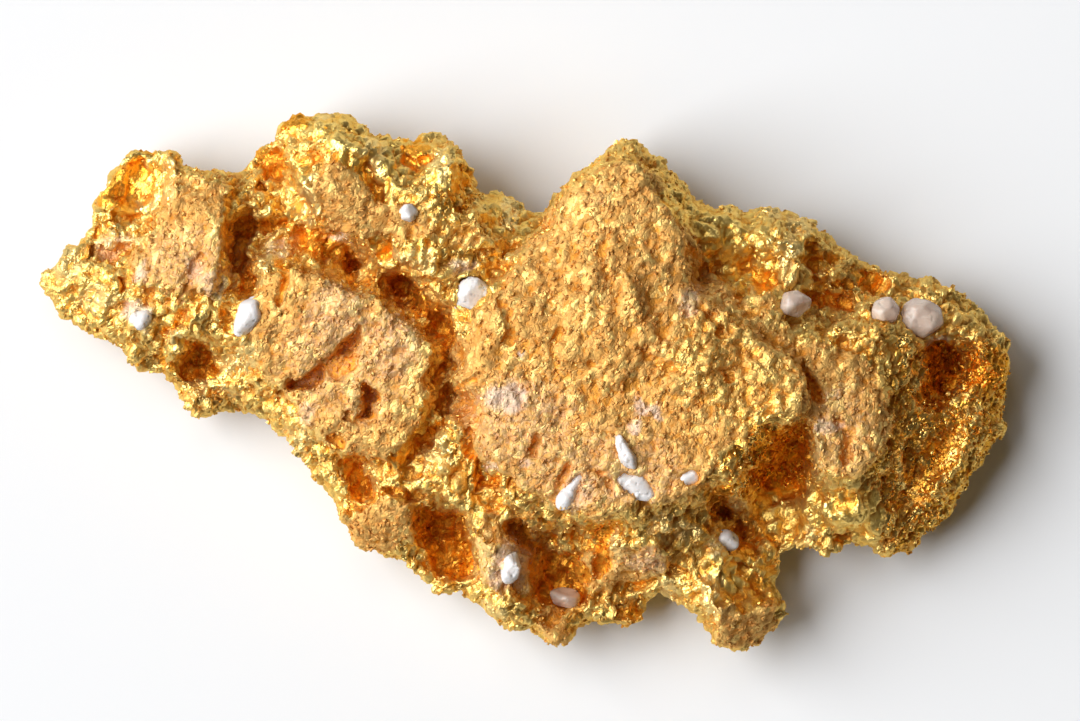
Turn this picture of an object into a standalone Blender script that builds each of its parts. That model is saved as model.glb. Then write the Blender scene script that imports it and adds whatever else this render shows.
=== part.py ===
# A gold nugget with grains of quartz set in it, lying on its flattest side.
# Metres, +Z up. X runs along the nugget. The origin is under its middle, on the surface it lies on.

import bmesh
import bpy
import numpy as np
from mathutils import Matrix, Vector, noise
from mathutils.bvhtree import BVHTree

# Driving dimensions. Every place below is drawn in millimetres on a nugget 40 mm long.
NUGGET_LENGTH = 0.040
DRAWN_LENGTH = 40.0
MM = NUGGET_LENGTH / DRAWN_LENGTH

VOXEL = 0.30 * MM  # grain of the working mesh
SKIN_VOXEL = 0.26 * MM  # grain of the mesh that closes the worked surface
GOLD_TRIANGLES = 8050  # what the gold keeps of that mesh
BLANK_DEPTH = 3.0 * MM  # thickness of the slab that the relief is worked on

TOP_ROUNDING = 1.5 * MM  # how far in from the outline the top reaches its full height
BELLY_ROUNDING = 3.6 * MM
RIM_LEVEL = 0.46  # share of the top's height at which the nugget is widest
RIM_WALL = 0.24  # thickness of the rim as a share of the top's height
BELLY_HEIGHT = 0.95 * MM  # clearance under the belly, between the feet
FOOT_DROP = 2.2 * MM  # how far a foot reaches down from the belly before it is worn flat
LEAST_THICKNESS = 1.0 * MM  # gold left under the deepest recess
SPOT_REACH = 1.3 * MM  # how softly one surveyed height runs into the next

NOISE_SEED = 11  # any number but 0 gives the same nugget on every run
# Waves of the noise that breaks up what is drawn: wavelength and reach.
LINE_WANDER = ((2.2 * MM, 0.42 * MM), (0.9 * MM, 0.25 * MM))
SURFACE_SWAY = ((2.2 * MM, 0.20 * MM), (0.9 * MM, 0.10 * MM))
BELLY_SWELL = (4.5 * MM, 0.75 * MM)

# The lumps that cover the whole nugget, one to a cell, with creases between them.
LUMP_SIZE = 1.25 * MM
LUMP_HEIGHT = 0.42 * MM
CREASE_WIDTH = 0.45  # as a share of the lump's size
LUMP_TILT = 0.55  # slope of a lump's face
LUMP_STEP = 0.50  # how much one lump stands over the next, as a share of its height
LUMP_DATUM = 0.70  # share of a lump's height that the drawn surface runs at
LEDGE_CALM = 0.15  # share of the lumps that is left on the ledges
LEDGE_MARGIN = 0.50 * MM  # how far in from a ledge's edge they are calmed

POCKET_GAP = 0.10 * MM  # room round a quartz grain in the gold
GRAIN_POINTS = 26  # corners of a quartz grain before its flat faces are wrapped round them

# The outline seen from above, clockwise from the left tip, in stretches of (x, y) millimetres.
OUTLINE = {
    "left tip": [(-20.0, 3.8), (-19.8, 4.5), (-19.1, 5.7), (-18.3, 5.9), (-18.1, 6.7), (-17.6, 8.0)],
    "left lobe": [(-16.5, 9.2), (-15.8, 9.6), (-15.3, 9.6), (-14.4, 9.4), (-13.4, 8.9), (-11.9, 8.6)],
    "step to the crown": [(-11.4, 8.8), (-11.2, 9.4), (-10.5, 10.0), (-10.1, 10.6), (-9.8, 10.8)],
    "crown": [
        (-8.6, 10.8), (-8.2, 11.1), (-7.5, 11.1), (-7.0, 10.7), (-6.1, 10.4), (-5.5, 10.4),
        (-5.1, 10.1),
    ],
    "crown ear": [(-4.0, 10.2), (-3.1, 10.1), (-2.7, 9.7), (-2.2, 8.8), (-2.1, 7.8)],
    "notch under the peak": [(-1.1, 7.8), (-0.5, 7.5), (0.2, 6.8), (0.6, 7.2)],
    "peak": [
        (0.9, 7.7), (2.0, 8.4), (2.9, 9.5), (3.3, 9.9), (3.8, 10.1), (4.2, 10.1), (4.6, 9.8),
        (5.6, 9.1),
    ],
    "right slope": [(5.9, 8.4), (6.6, 7.8), (7.4, 7.3), (8.4, 7.1), (9.1, 7.0), (9.9, 7.2), (10.9, 6.8)],
    "right shoulder": [
        (11.7, 6.7), (12.2, 6.2), (12.5, 5.6), (13.3, 5.5), (13.9, 5.1), (14.6, 4.8), (15.8, 4.4),
    ],
    "right end": [
        (16.3, 4.5), (17.0, 4.2), (17.7, 3.8), (18.5, 3.0), (19.1, 2.2), (19.6, 1.5), (20.0, 0.2),
    ],
    "right flank": [(19.8, -1.0), (19.7, -1.8), (19.2, -2.6), (18.2, -4.0), (17.4, -5.5), (16.4, -6.6)],
    "right heel": [
        (15.2, -7.0), (14.5, -7.2), (14.0, -6.8), (13.0, -6.6), (12.0, -7.1), (11.4, -6.9),
        (10.7, -6.7),
    ],
    "tail": [
        (10.5, -7.4), (10.1, -7.9), (10.2, -8.6), (10.7, -9.0), (10.6, -9.3), (10.3, -10.2),
        (9.1, -10.9),
    ],
    "tail end": [(7.9, -11.1), (7.3, -10.2), (6.5, -9.4), (5.8, -8.7), (5.8, -8.3)],
    "bottom notch": [
        (5.1, -8.6), (4.5, -9.1), (4.9, -9.9), (4.0, -10.2), (3.7, -10.0), (2.7, -10.0), (2.0, -9.8),
    ],
    "blunt tooth": [(1.8, -10.3), (1.7, -10.8), (0.9, -11.0), (0.7, -10.5)],
    "bottom lump": [(-0.8, -10.2), (-1.6, -10.1), (-1.9, -9.5), (-2.5, -8.7), (-3.0, -8.7), (-3.8, -8.6)],
    "lower left edge": [(-4.4, -8.0), (-5.6, -7.0), (-6.1, -6.8), (-6.5, -7.0), (-7.1, -6.8), (-7.5, -5.8)],
    "waist": [(-8.2, -4.9), (-8.9, -3.5), (-9.5, -3.0), (-10.4, -2.2), (-10.7, -1.7), (-11.2, -1.1)],
    "toe": [(-11.8, -1.0), (-12.9, -1.5), (-13.5, -1.5), (-14.1, -1.1), (-14.4, -0.8), (-14.3, 0.0)],
    "left underside": [(-14.8, -0.1), (-15.2, 0.2), (-15.7, 0.5), (-16.9, 1.5), (-18.6, 2.4), (-19.5, 2.9)],
}

# Heights of the top over the surface it lies on, as (x, y, height) millimetres.
SURVEY = {
    "shield": [
        (3.9, 9.5, 5.6), (3.9, 7.5, 6.7), (3.5, 5.0, 7.2), (3.1, 1.7, 7.4), (-0.6, 2.6, 7.0),
        (-1.0, -1.5, 6.8), (2.7, -2.8, 7.1), (3.9, -5.2, 6.5), (7.2, 0.9, 7.6), (8.0, -2.8, 7.1),
        (10.4, 0.5, 7.4),
    ],
    "crown": [
        (-9.2, 9.5, 5.0), (-7.2, 9.9, 5.6), (-8.0, 7.5, 6.3), (-4.3, 9.1, 5.4), (-3.9, 6.6, 6.1),
        (-1.8, 5.8, 5.3), (-0.8, 6.9, 3.4),
    ],
    "left lobe": [
        (-19.0, 3.8, 3.0), (-17.0, 3.8, 4.0), (-16.2, 7.5, 3.6), (-13.3, 7.1, 5.0), (-13.7, 4.2, 5.2),
        (-15.3, 2.1, 4.2), (-11.7, 8.3, 3.8),
    ],
    "middle left": [
        (-11.2, 2.1, 5.2), (-8.0, 2.6, 6.0), (-5.1, 0.5, 5.9), (-8.4, -1.5, 5.0), (-5.5, -2.4, 5.4),
        (-13.5, -0.3, 2.7), (-10.6, 5.4, 4.5),
    ],
    "lower ridge": [
        (-8.0, -4.0, 4.0), (-5.9, -5.6, 4.0), (-3.5, -4.0, 5.4), (-1.8, -6.4, 5.0), (-3.5, -7.3, 3.3),
        (-1.0, -8.5, 4.4), (1.2, -9.9, 3.7), (1.4, -7.3, 4.3), (3.9, -8.9, 2.9), (5.1, -6.9, 5.2),
        (7.2, -7.7, 4.5),
    ],
    "tail": [(8.8, -8.5, 4.1), (8.4, -10.1, 4.3)],
    "right lobe": [
        (8.8, 5.4, 4.6), (10.8, 5.8, 5.1), (9.6, 3.0, 5.4), (12.9, 4.2, 4.1), (14.1, 1.9, 5.8),
        (16.6, 3.8, 3.7), (18.2, 1.7, 3.9), (13.3, -0.7, 6.5), (12.9, -3.2, 6.3), (15.3, -0.7, 5.4),
        (17.0, -2.4, 3.7), (19.0, -0.7, 2.7), (14.5, -6.0, 4.0), (12.5, -5.6, 4.6), (10.0, -4.8, 2.6),
        (16.2, -5.6, 2.9),
    ],
}

# Flat-topped ledges with a sharp edge: lift, softness of the edge, corners.
LEDGES = {
    "shield": (1.05, 0.32, [
        (3.3, 9.5), (2.0, 8.2), (0.9, 7.3), (-0.2, 5.6), (-1.3, 3.8), (-2.2, 2.1), (-3.1, 0.2),
        (-2.2, -0.5), (-1.8, -1.5), (-1.9, -3.2), (-1.0, -4.8), (1.4, -5.8), (3.9, -5.8), (6.3, -5.4),
        (8.0, -4.6), (9.0, -3.4), (10.4, -2.1), (11.2, -1.5), (10.8, 0.1), (9.6, 1.5), (8.6, 2.8),
        (7.2, 4.2), (6.7, 5.8), (5.5, 7.5), (4.7, 9.1), (3.9, 9.8),
    ]),
    "middle left": (0.75, 0.30, [
        (-11.5, 3.4), (-10.4, 4.0), (-9.2, 4.9), (-7.8, 4.1), (-5.7, 3.5), (-4.5, 2.4), (-3.5, 1.3),
        (-3.5, -0.1), (-4.5, -1.9), (-5.1, -3.0), (-7.2, -3.2), (-8.8, -2.4), (-9.8, -1.5),
        (-9.6, -0.5), (-10.6, 0.3), (-11.9, 0.9), (-12.7, 2.1),
    ]),
    "crown": (0.55, 0.40, [
        (-9.6, 8.7), (-8.0, 9.9), (-5.1, 9.5), (-2.7, 9.5), (-2.2, 7.5), (-0.8, 5.6), (-1.4, 4.4),
        (-3.5, 3.8), (-5.3, 4.6), (-7.0, 5.8), (-8.8, 6.9),
    ]),
    "left lobe": (0.50, 0.40, [
        (-14.3, 7.9), (-11.7, 8.1), (-11.2, 6.9), (-12.1, 5.8), (-11.9, 3.8), (-13.1, 2.1),
        (-14.9, 1.3), (-17.0, 2.1), (-17.8, 3.4), (-16.6, 5.4), (-15.3, 6.9),
    ]),
    "right ridge": (0.60, 0.35, [
        (11.9, 1.1), (14.1, 1.3), (15.3, 0.5), (14.9, -0.7), (14.1, -2.4), (14.5, -4.0), (13.3, -4.4),
        (12.1, -4.0), (11.2, -1.9), (11.0, -0.3),
    ]),
    "blunt tooth": (0.70, 0.25, [(0.6, -9.2), (1.9, -9.1), (1.9, -11.4), (0.6, -11.4)]),
    "bottom block": (0.60, 0.25, [(-2.0, -6.2), (-0.6, -6.0), (-0.5, -8.2), (-1.7, -8.6)]),
}

# Cracks, valleys and pits: depth, half width, and the line that each follows.
# One point makes a round pit.
HOLLOWS = {
    "valley under the crown": (1.5, 0.55, [
        (-10.2, 7.9), (-9.2, 6.9), (-8.0, 5.8), (-6.7, 4.7), (-5.1, 3.7),
    ]),
    "valley beside the shield": (1.6, 0.50, [
        (-5.1, 3.7), (-3.9, 2.6), (-3.3, 1.5), (-3.5, 0.1), (-2.7, -0.7),
    ]),
    "valley pit": (1.0, 0.40, [(-7.3, 5.1), (-6.9, 4.5)]),
    "slot by the crown foot": (0.9, 0.38, [(-5.6, 4.5), (-4.6, 4.1)]),
    "dent in the crown foot": (0.8, 0.35, [(-5.8, 5.5)]),
    "crown groove": (0.8, 0.30, [(-5.9, 9.8), (-6.3, 8.8), (-5.8, 7.4)]),
    "crown pit": (1.0, 0.38, [(-4.9, 9.2), (-4.5, 8.8)]),
    "crown dent": (0.9, 0.45, [(-10.6, 9.4), (-10.4, 8.6)]),
    "left crack": (1.5, 0.26, [(-9.8, -0.3), (-8.6, 0.1), (-7.6, 0.9), (-7.0, 1.7), (-6.7, 2.4)]),
    "left pit": (1.4, 0.34, [(-6.5, 0.0), (-6.1, -0.8), (-6.6, -1.5)]),
    "upright crack": (1.0, 0.26, [(-2.5, -0.7), (-2.2, -1.9), (-1.8, -3.6), (-1.6, -4.8)]),
    "lower crack": (1.0, 0.30, [(-3.1, -0.9), (-4.1, -2.4), (-5.1, -3.6)]),
    "left cavity": (1.5, 0.48, [(-11.8, 4.6), (-11.9, 5.8), (-11.1, 6.3), (-9.8, 6.0)]),
    "dent by the white grain": (0.8, 0.30, [(-11.3, 4.3), (-11.1, 3.7)]),
    "left slot": (0.7, 0.28, [(-14.0, 2.9), (-14.8, 2.1)]),
    "left grey dent": (0.5, 0.35, [(-13.5, 4.7), (-13.7, 3.7)]),
    "left shelf dent": (0.6, 0.35, [(-17.4, 5.6), (-16.3, 5.3)]),
    "left scoop": (1.4, 0.80, [(-16.6, 7.3), (-15.3, 8.9)]),
    "toe hollow": (1.3, 0.52, [(-13.3, 1.2), (-13.2, 0.4)]),
    "thumb hollow": (1.1, 0.42, [(-7.0, -3.4), (-6.7, -4.4)]),
    "slot over the thumb": (0.8, 0.25, [(-5.2, -4.6), (-4.2, -4.5)]),
    "lower left hollow": (2.0, 0.80, [(-3.4, -5.9), (-3.0, -7.3)]),
    "bottom pocket": (1.6, 0.36, [(-0.6, -5.6), (0.0, -6.2), (0.8, -6.9)]),
    "lower basin": (1.7, 0.75, [(0.5, -7.7), (1.5, -8.6)]),
    "orange recess": (1.2, 0.50, [(2.2, -6.6), (2.7, -7.4)]),
    "slot under the shield": (0.9, 0.26, [(2.2, -5.9), (3.0, -5.9), (3.9, -5.9)]),
    "notch under": (1.3, 0.45, [(4.6, -8.2), (3.6, -8.6)]),
    "deep recess": (1.5, 0.95, [(10.6, -2.4), (9.9, -3.8), (10.4, -5.4), (10.9, -6.6)]),
    "recess arm": (1.7, 0.46, [(7.6, -4.8), (8.4, -5.5), (8.9, -6.0)]),
    "tail slope": (1.1, 0.80, [(9.4, -6.7), (9.9, -7.6)]),
    "peak dent": (0.7, 0.34, [(4.7, 9.1), (4.9, 8.6)]),
    "slope dent": (0.7, 0.32, [(6.8, 5.4), (7.2, 4.6)]),
    "saddle": (0.8, 0.80, [(8.2, 5.0), (9.4, 4.4), (10.1, 4.2)]),
    "hole behind the crest": (1.0, 0.30, [(11.7, 5.3), (11.9, 4.5)]),
    "upper right recess": (1.2, 0.50, [(13.4, 4.6), (14.0, 4.1), (14.9, 3.9)]),
    "upper right gutter": (1.0, 0.36, [(11.7, 3.6), (12.5, 3.3), (13.3, 3.2)]),
    "ridge crack": (0.9, 0.28, [(10.9, 1.4), (11.6, 0.4), (11.9, -0.6)]),
    "right pit": (1.9, 0.50, [(17.5, 0.9), (17.1, 0.0), (16.9, -0.6)]),
    "heel slot": (0.8, 0.28, [(12.6, -6.4), (13.6, -6.3)]),
}

# Rounded lumps: height, radius, and the line that each follows.
LUMPS = {
    "bump in the cavity": (1.1, 0.55, [(-10.8, 5.0), (-10.2, 4.8)]),
    "crown fold": (0.7, 0.42, [(-3.6, 9.6), (-2.9, 8.7), (-2.9, 7.9)]),
    "crown crest": (0.7, 0.45, [(-9.0, 10.0), (-7.6, 10.3), (-6.6, 9.5)]),
    "link to the shield": (0.8, 0.60, [(-1.6, 7.2), (-0.4, 6.4)]),
    "scoop crest": (0.7, 0.32, [(-14.4, 9.0), (-14.5, 7.4)]),
    "scoop lip": (0.6, 0.35, [(-17.2, 7.0), (-16.7, 8.3), (-15.8, 9.2)]),
    "tip block": (0.6, 0.60, [(-18.6, 4.4), (-17.6, 4.2)]),
    "toe knob": (1.0, 0.60, [(-13.7, -0.7), (-12.8, -0.6)]),
    "toe arch": (0.7, 0.30, [(-14.2, 1.6), (-13.7, 2.3), (-12.9, 1.9)]),
    "peak knob": (0.5, 0.55, [(3.5, 9.2), (4.0, 9.4)]),
    "shield rib": (0.35, 0.30, [(4.1, 4.3), (4.5, 2.8)]),
    "valley bead": (0.6, 0.35, [(-3.7, 1.5)]),
    "valley ridge": (0.5, 0.35, [(-3.2, 0.9), (-3.0, 0.2)]),
    "right crest": (0.9, 0.55, [(9.9, 6.4), (10.8, 5.6), (10.3, 4.2), (10.2, 3.4)]),
    "right crest block": (0.7, 0.45, [(11.4, 6.2), (11.9, 5.9)]),
    "arch": (0.7, 0.26, [(12.2, 4.3), (12.8, 4.7), (13.2, 4.2)]),
    "lip under the pebbles": (0.8, 0.42, [(12.9, 2.2), (14.2, 2.0), (15.3, 1.9)]),
    "right ridge cliff": (0.4, 0.30, [(11.5, -1.9), (12.0, -3.4)]),
    "right slope rib": (0.5, 0.30, [(15.1, -2.2), (15.2, -3.9)]),
    "toes over the recess": (0.5, 0.40, [(9.4, -2.6), (9.9, -1.8), (10.4, -1.4)]),
    "recess knob": (1.1, 0.40, [(8.6, -4.9)]),
    "heel shelf": (0.8, 0.50, [(12.6, -5.4), (13.4, -5.2), (14.3, -6.4)]),
    "heel flake": (0.6, 0.35, [(11.8, -6.5)]),
    "right rim": (0.6, 0.45, [(17.9, 2.4), (18.9, 1.0), (18.8, -1.2), (17.8, -3.2), (16.4, -5.0)]),
    "tail knob": (0.7, 0.70, [(8.2, -9.8), (9.2, -9.8)]),
    "tail wall": (0.6, 0.38, [(6.1, -8.5), (7.0, -9.3), (7.7, -10.3)]),
    "tail block": (0.9, 0.42, [(7.6, -8.6), (8.1, -9.1)]),
    "tail nub": (0.7, 0.30, [(10.3, -9.1)]),
    "bright arm": (0.6, 0.32, [(5.0, -6.5), (5.8, -5.9), (6.8, -6.1)]),
    "lower plate": (0.5, 0.45, [(4.1, -7.6), (5.4, -7.0)]),
    "lower rib": (0.7, 0.42, [(-2.6, -5.3), (-1.9, -6.3), (-1.9, -7.4)]),
    "lower thumb": (0.9, 0.62, [(-6.5, -6.1), (-5.2, -5.5)]),
    "bottom rib": (0.8, 0.36, [(3.3, -8.6), (3.2, -7.6), (3.5, -6.8)]),
    "bottom toes": (0.5, 0.40, [(-1.4, -9.3), (-0.2, -9.6)]),
    "drip": (0.6, 0.35, [(4.3, -9.6), (3.8, -9.9)]),
}

# Where the underside reaches down and rests: x, y, radius.
FEET = {
    "middle foot": (2.2, 0.8, 2.8),
    "left foot": (-14.0, 4.6, 2.3),
    "waist foot": (-5.6, -2.8, 1.9),
    "right foot": (14.6, -1.2, 2.5),
    "tail foot": (6.4, -7.2, 1.3),
    "crown foot": (-5.2, 7.0, 1.7),
}

# Quartz grains: centre in plan, length, width and depth, turn in degrees, height out of the gold.
GRAINS = {
    "quartz_pebble_large": ((16.1, 2.6), (1.9, 1.6, 1.4), -25, 0.70),
    "quartz_pebble_small": ((14.6, 2.9), (1.15, 1.15, 1.1), 10, 0.55),
    "quartz_pebble_upper": ((10.9, 3.2), (1.3, 1.1, 1.1), 0, 0.55),
    "quartz_white_left": ((-11.4, 2.7), (0.95, 1.75, 1.1), -28, 0.25),
    "quartz_white_middle": ((-2.3, 3.6), (1.3, 1.7, 1.3), -30, 0.40),
    "quartz_crown": ((-4.9, 6.9), (0.8, 0.7, 0.8), 15, 0.22),
    "quartz_wedge": ((4.0, -2.8), (0.75, 1.7, 1.0), 24, 0.22),
    "quartz_lens": ((4.4, -4.2), (1.9, 0.95, 1.0), -25, 0.24),
    "quartz_lower": ((1.75, -4.4), (0.75, 1.7, 1.0), -32, 0.22),
    "quartz_edge": ((6.6, -3.9), (0.8, 0.7, 0.8), 20, 0.18),
    "quartz_basin": ((1.5, -8.8), (1.3, 0.9, 1.0), -15, 0.50),
    "quartz_recess": ((8.2, -6.5), (1.0, 0.8, 0.9), -35, 0.35),
    "quartz_tip": ((-15.8, 2.6), (0.9, 0.8, 0.8), 30, 0.22),
    "quartz_block": ((-0.7, -7.5), (0.8, 1.3, 0.9), -10, 0.18),
}
CLEAR_GRAINS = ("quartz_pebble_large", "quartz_pebble_small", "quartz_pebble_upper", "quartz_basin")


def clear_scene():
    for thing in list(bpy.data.objects):
        bpy.data.objects.remove(thing)


def material(name, colour, roughness, metallic=0.0, transmission=0.0):
    made = bpy.data.materials.new(name)
    made.use_nodes = True
    surface = made.node_tree.nodes["Principled BSDF"]
    surface.inputs["Base Color"].default_value = (*colour, 1.0)
    surface.inputs["Roughness"].default_value = roughness
    surface.inputs["Metallic"].default_value = metallic
    surface.inputs["Transmission Weight"].default_value = transmission
    return made


def new_object(name, mesh):
    thing = bpy.data.objects.new(name, mesh)
    bpy.context.scene.collection.objects.link(thing)
    return thing


def evaluated_mesh(thing):
    """A copy of the object's mesh with its modifiers applied."""
    bpy.context.view_layer.update()
    graph = bpy.context.evaluated_depsgraph_get()
    return bpy.data.meshes.new_from_object(thing.evaluated_get(graph))


def vertices_of(mesh):
    places = np.empty(len(mesh.vertices) * 3, np.float32)
    mesh.vertices.foreach_get("co", places)
    return places.reshape(-1, 3).astype(np.float64)


def normals_of(mesh):
    normals = np.empty(len(mesh.vertices) * 3, np.float32)
    mesh.vertex_normals.foreach_get("vector", normals)
    return normals.reshape(-1, 3).astype(np.float64)


def move_vertices(mesh, places):
    mesh.vertices.foreach_set("co", places.astype(np.float32).ravel())
    mesh.update()


def distance_to_line(spots, line, closed=False):
    """How far each spot is from a line of points, in plan."""
    ends = np.roll(line, -1, axis=0) if closed else line[1:]
    starts = line if closed else line[:-1]
    if len(line) == 1:
        return np.linalg.norm(spots - line[0], axis=1)
    nearest = np.full(len(spots), np.inf)
    for start, end in zip(starts, ends):
        along = end - start
        share = np.clip((spots - start) @ along / (along @ along), 0, 1)
        nearest = np.minimum(nearest, np.linalg.norm(spots - start - share[:, None] * along, axis=1))
    return nearest


def inside_of(spots, corners):
    """True for each spot that the closed line of corners goes round."""
    x, y = spots.T
    within = np.zeros(len(spots), bool)
    for (x0, y0), (x1, y1) in zip(corners, np.roll(corners, -1, axis=0)):
        crosses = (y0 > y) != (y1 > y)
        with np.errstate(divide="ignore", invalid="ignore"):
            within ^= crosses & (x < x0 + (y - y0) * (x1 - x0) / (y1 - y0))
    return within


def depth_inside(spots, corners):
    """Distance from the closed line, positive inside it and negative outside."""
    reach = distance_to_line(spots, corners, closed=True)
    return np.where(inside_of(spots, corners), reach, -reach)


def smooth_step(share):
    share = np.clip(share, 0, 1)
    return share * share * (3 - 2 * share)


def bell(distance, half_width):
    """1 on the line and falling to 0 at twice the half width."""
    return smooth_step(1 - distance / (2 * half_width))


def drawn(points):
    return np.array(points, float) * MM


def outline():
    return drawn([point for stretch in OUTLINE.values() for point in stretch])


def surveyed_height(spots):
    """The heights of the survey, run softly into each other."""
    weights = np.zeros(len(spots))
    total = np.zeros(len(spots))
    for readings in SURVEY.values():
        for x, y, height in drawn(readings):
            share = (((spots - (x, y)) ** 2).sum(axis=1) + SPOT_REACH**2) ** -2
            weights += share
            total += share * height
    return total / weights


def top_height(spots):
    """Height of the top before the rim rounds it off."""
    height = surveyed_height(spots)
    for lift, softness, corners in LEDGES.values():
        depth = depth_inside(spots, drawn(corners))
        height += lift * MM * smooth_step(0.5 + depth / (2 * softness * MM))
    for depth, half_width, line in HOLLOWS.values():
        height -= depth * MM * bell(distance_to_line(spots, drawn(line)), half_width * MM)
    for lift, radius, line in LUMPS.values():
        height += lift * MM * bell(distance_to_line(spots, drawn(line)), radius * MM)
    return height


def wave_over(spots, wave):
    """Two independent noises over the plan, with the wave's length and reach."""
    wavelength, reach = wave
    at = [Vector((x / wavelength, y / wavelength, reach / wavelength)) for x, y in spots]
    return reach * np.array([noise.noise_vector(place)[:2] for place in at])


def crooked(spots):
    """The places moved a little to and fro, so that lines drawn through them come out broken."""
    return spots + sum(wave_over(spots, wave) for wave in LINE_WANDER)


def belly_height(spots):
    """Height of the underside, which its feet bring down past the level they are worn to."""
    height = BELLY_HEIGHT + wave_over(spots, BELLY_SWELL)[:, 0]
    for x, y, radius in FEET.values():
        away = np.linalg.norm(spots - drawn((x, y)), axis=1)
        height -= FOOT_DROP * smooth_step(1 - away / (2 * radius * MM))
    return height


def rounding(depth, width):
    """0 at the outline and 1 from the given width inwards, along a quarter circle."""
    share = np.clip(1 - depth / width, 0, 1)
    return np.sqrt(1 - share * share)


def slab():
    """The outline as an even mesh of a slab, from z 0 to the blank's depth."""
    form = bmesh.new()
    face = form.faces.new([form.verts.new((x, y, 0)) for x, y in outline()])
    grown = bmesh.ops.extrude_face_region(form, geom=[face])
    lifted = [item for item in grown["geom"] if isinstance(item, bmesh.types.BMVert)]
    bmesh.ops.translate(form, verts=lifted, vec=(0, 0, BLANK_DEPTH))
    bmesh.ops.recalc_face_normals(form, faces=form.faces)
    mesh = bpy.data.meshes.new("slab")
    form.to_mesh(mesh)
    form.free()
    return remeshed(mesh, VOXEL)


def remeshed(mesh, voxel):
    """The mesh wrapped again in an even skin."""
    thing = new_object("working", mesh)
    wrap = thing.modifiers.new("even skin", "REMESH")
    wrap.mode = "VOXEL"
    wrap.voxel_size = voxel
    result = evaluated_mesh(thing)
    bpy.data.objects.remove(thing)
    return result


def shape_slab(mesh):
    """Moves the slab's two sides to the heights of the top and the underside."""
    places = vertices_of(mesh)
    spots = places[:, :2]
    depth = np.maximum(depth_inside(spots, outline()), 0)
    belly = belly_height(spots)
    top = np.maximum(top_height(crooked(spots)), belly + LEAST_THICKNESS)
    rim_middle, rim_half = RIM_LEVEL * surveyed_height(spots), 0.5 * RIM_WALL * surveyed_height(spots)
    upper = rim_middle + rim_half
    lower = rim_middle - rim_half
    top = upper + (top - upper) * rounding(depth, TOP_ROUNDING)
    belly = lower + (belly - lower) * rounding(depth, BELLY_ROUNDING)
    level = np.clip(places[:, 2] / BLANK_DEPTH, 0, 1)
    places[:, 2] = belly + (top - belly) * level
    move_vertices(mesh, places)


def on_ledges(spots):
    """1 on top of a ledge and 0 away from all of them."""
    share = np.zeros(len(spots))
    for _, _, corners in LEDGES.values():
        share = np.maximum(share, smooth_step(depth_inside(spots, drawn(corners)) / LEDGE_MARGIN))
    return share


def lump_at(place):
    """Height of the lump in whose cell this place is: 0 in the creases, about 1 on its middle."""
    distances, centres = noise.voronoi(place / LUMP_SIZE)
    crease = smooth_step((distances[1] - distances[0]) / CREASE_WIDTH)
    lean = noise.noise_vector(centres[0] / CREASE_WIDTH)
    return crease + LUMP_TILT * (place / LUMP_SIZE - centres[0]).dot(lean) + LUMP_STEP * lean.z


def crumple(mesh):
    """Pushes the surface about in all directions, in swells and in lumps with creases between them."""
    places, normals = vertices_of(mesh), normals_of(mesh)
    calm = 1 - (1 - LEDGE_CALM) * on_ledges(crooked(places[:, :2])) * (normals[:, 2] > 0)
    moved = places.copy()
    for i, place in enumerate(map(Vector, places)):
        for wavelength, reach in SURFACE_SWAY:
            moved[i] += reach * np.array(noise.noise_vector(place / wavelength))
        moved[i] += LUMP_HEIGHT * calm[i] * (lump_at(place) - LUMP_DATUM) * normals[i]
    move_vertices(mesh, moved)


def thinned(mesh, triangles):
    """The mesh with its smallest detail merged, down to about that many triangles."""
    thing = new_object("working", mesh)
    fewer = thing.modifiers.new("fewer faces", "DECIMATE")
    fewer.ratio = triangles / sum(len(face.vertices) - 2 for face in mesh.polygons)
    result = evaluated_mesh(thing)
    bpy.data.objects.remove(thing)
    return result


def wear_feet(mesh):
    """Cuts the feet off flat and closes them, so that the nugget lies on real flat faces."""
    form = bmesh.new()
    form.from_mesh(mesh)
    everything = list(form.verts) + list(form.edges) + list(form.faces)
    ground = {"plane_co": (0, 0, 0), "plane_no": (0, 0, -1)}
    bmesh.ops.bisect_plane(form, geom=everything, dist=1e-7, clear_outer=True, **ground)
    drop_crumbs(form)
    open_edges = [edge for edge in form.edges if edge.is_boundary]
    bmesh.ops.holes_fill(form, edges=open_edges, sides=0)
    bmesh.ops.triangulate(form, faces=form.faces)
    bmesh.ops.recalc_face_normals(form, faces=form.faces)
    form.to_mesh(mesh)
    form.free()


def drop_crumbs(form):
    """Deletes every loose piece but the largest."""
    unseen = set(form.verts)
    pieces = []
    while unseen:
        piece = set()
        front = [unseen.pop()]
        while front:
            vertex = front.pop()
            piece.add(vertex)
            neighbours = {edge.other_vert(vertex) for edge in vertex.link_edges} & unseen
            unseen -= neighbours
            front.extend(neighbours)
        pieces.append(piece)
    pieces.sort(key=len)
    for crumb in pieces[:-1]:
        bmesh.ops.delete(form, geom=list(crumb), context="VERTS")


def length_of(mesh):
    along = vertices_of(mesh)[:, 0]
    return along.max() - along.min()


def centre_of_plan(mesh):
    places = vertices_of(mesh)
    middle = (places.min(axis=0) + places.max(axis=0)) / 2
    return Vector((middle[0], middle[1], 0))


def height_at(tree, x, y):
    """Height of the gold under a point in plan."""
    hit = tree.ray_cast(Vector((x, y, 0.1)), Vector((0, 0, -1)))[0]
    return hit.z


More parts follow.
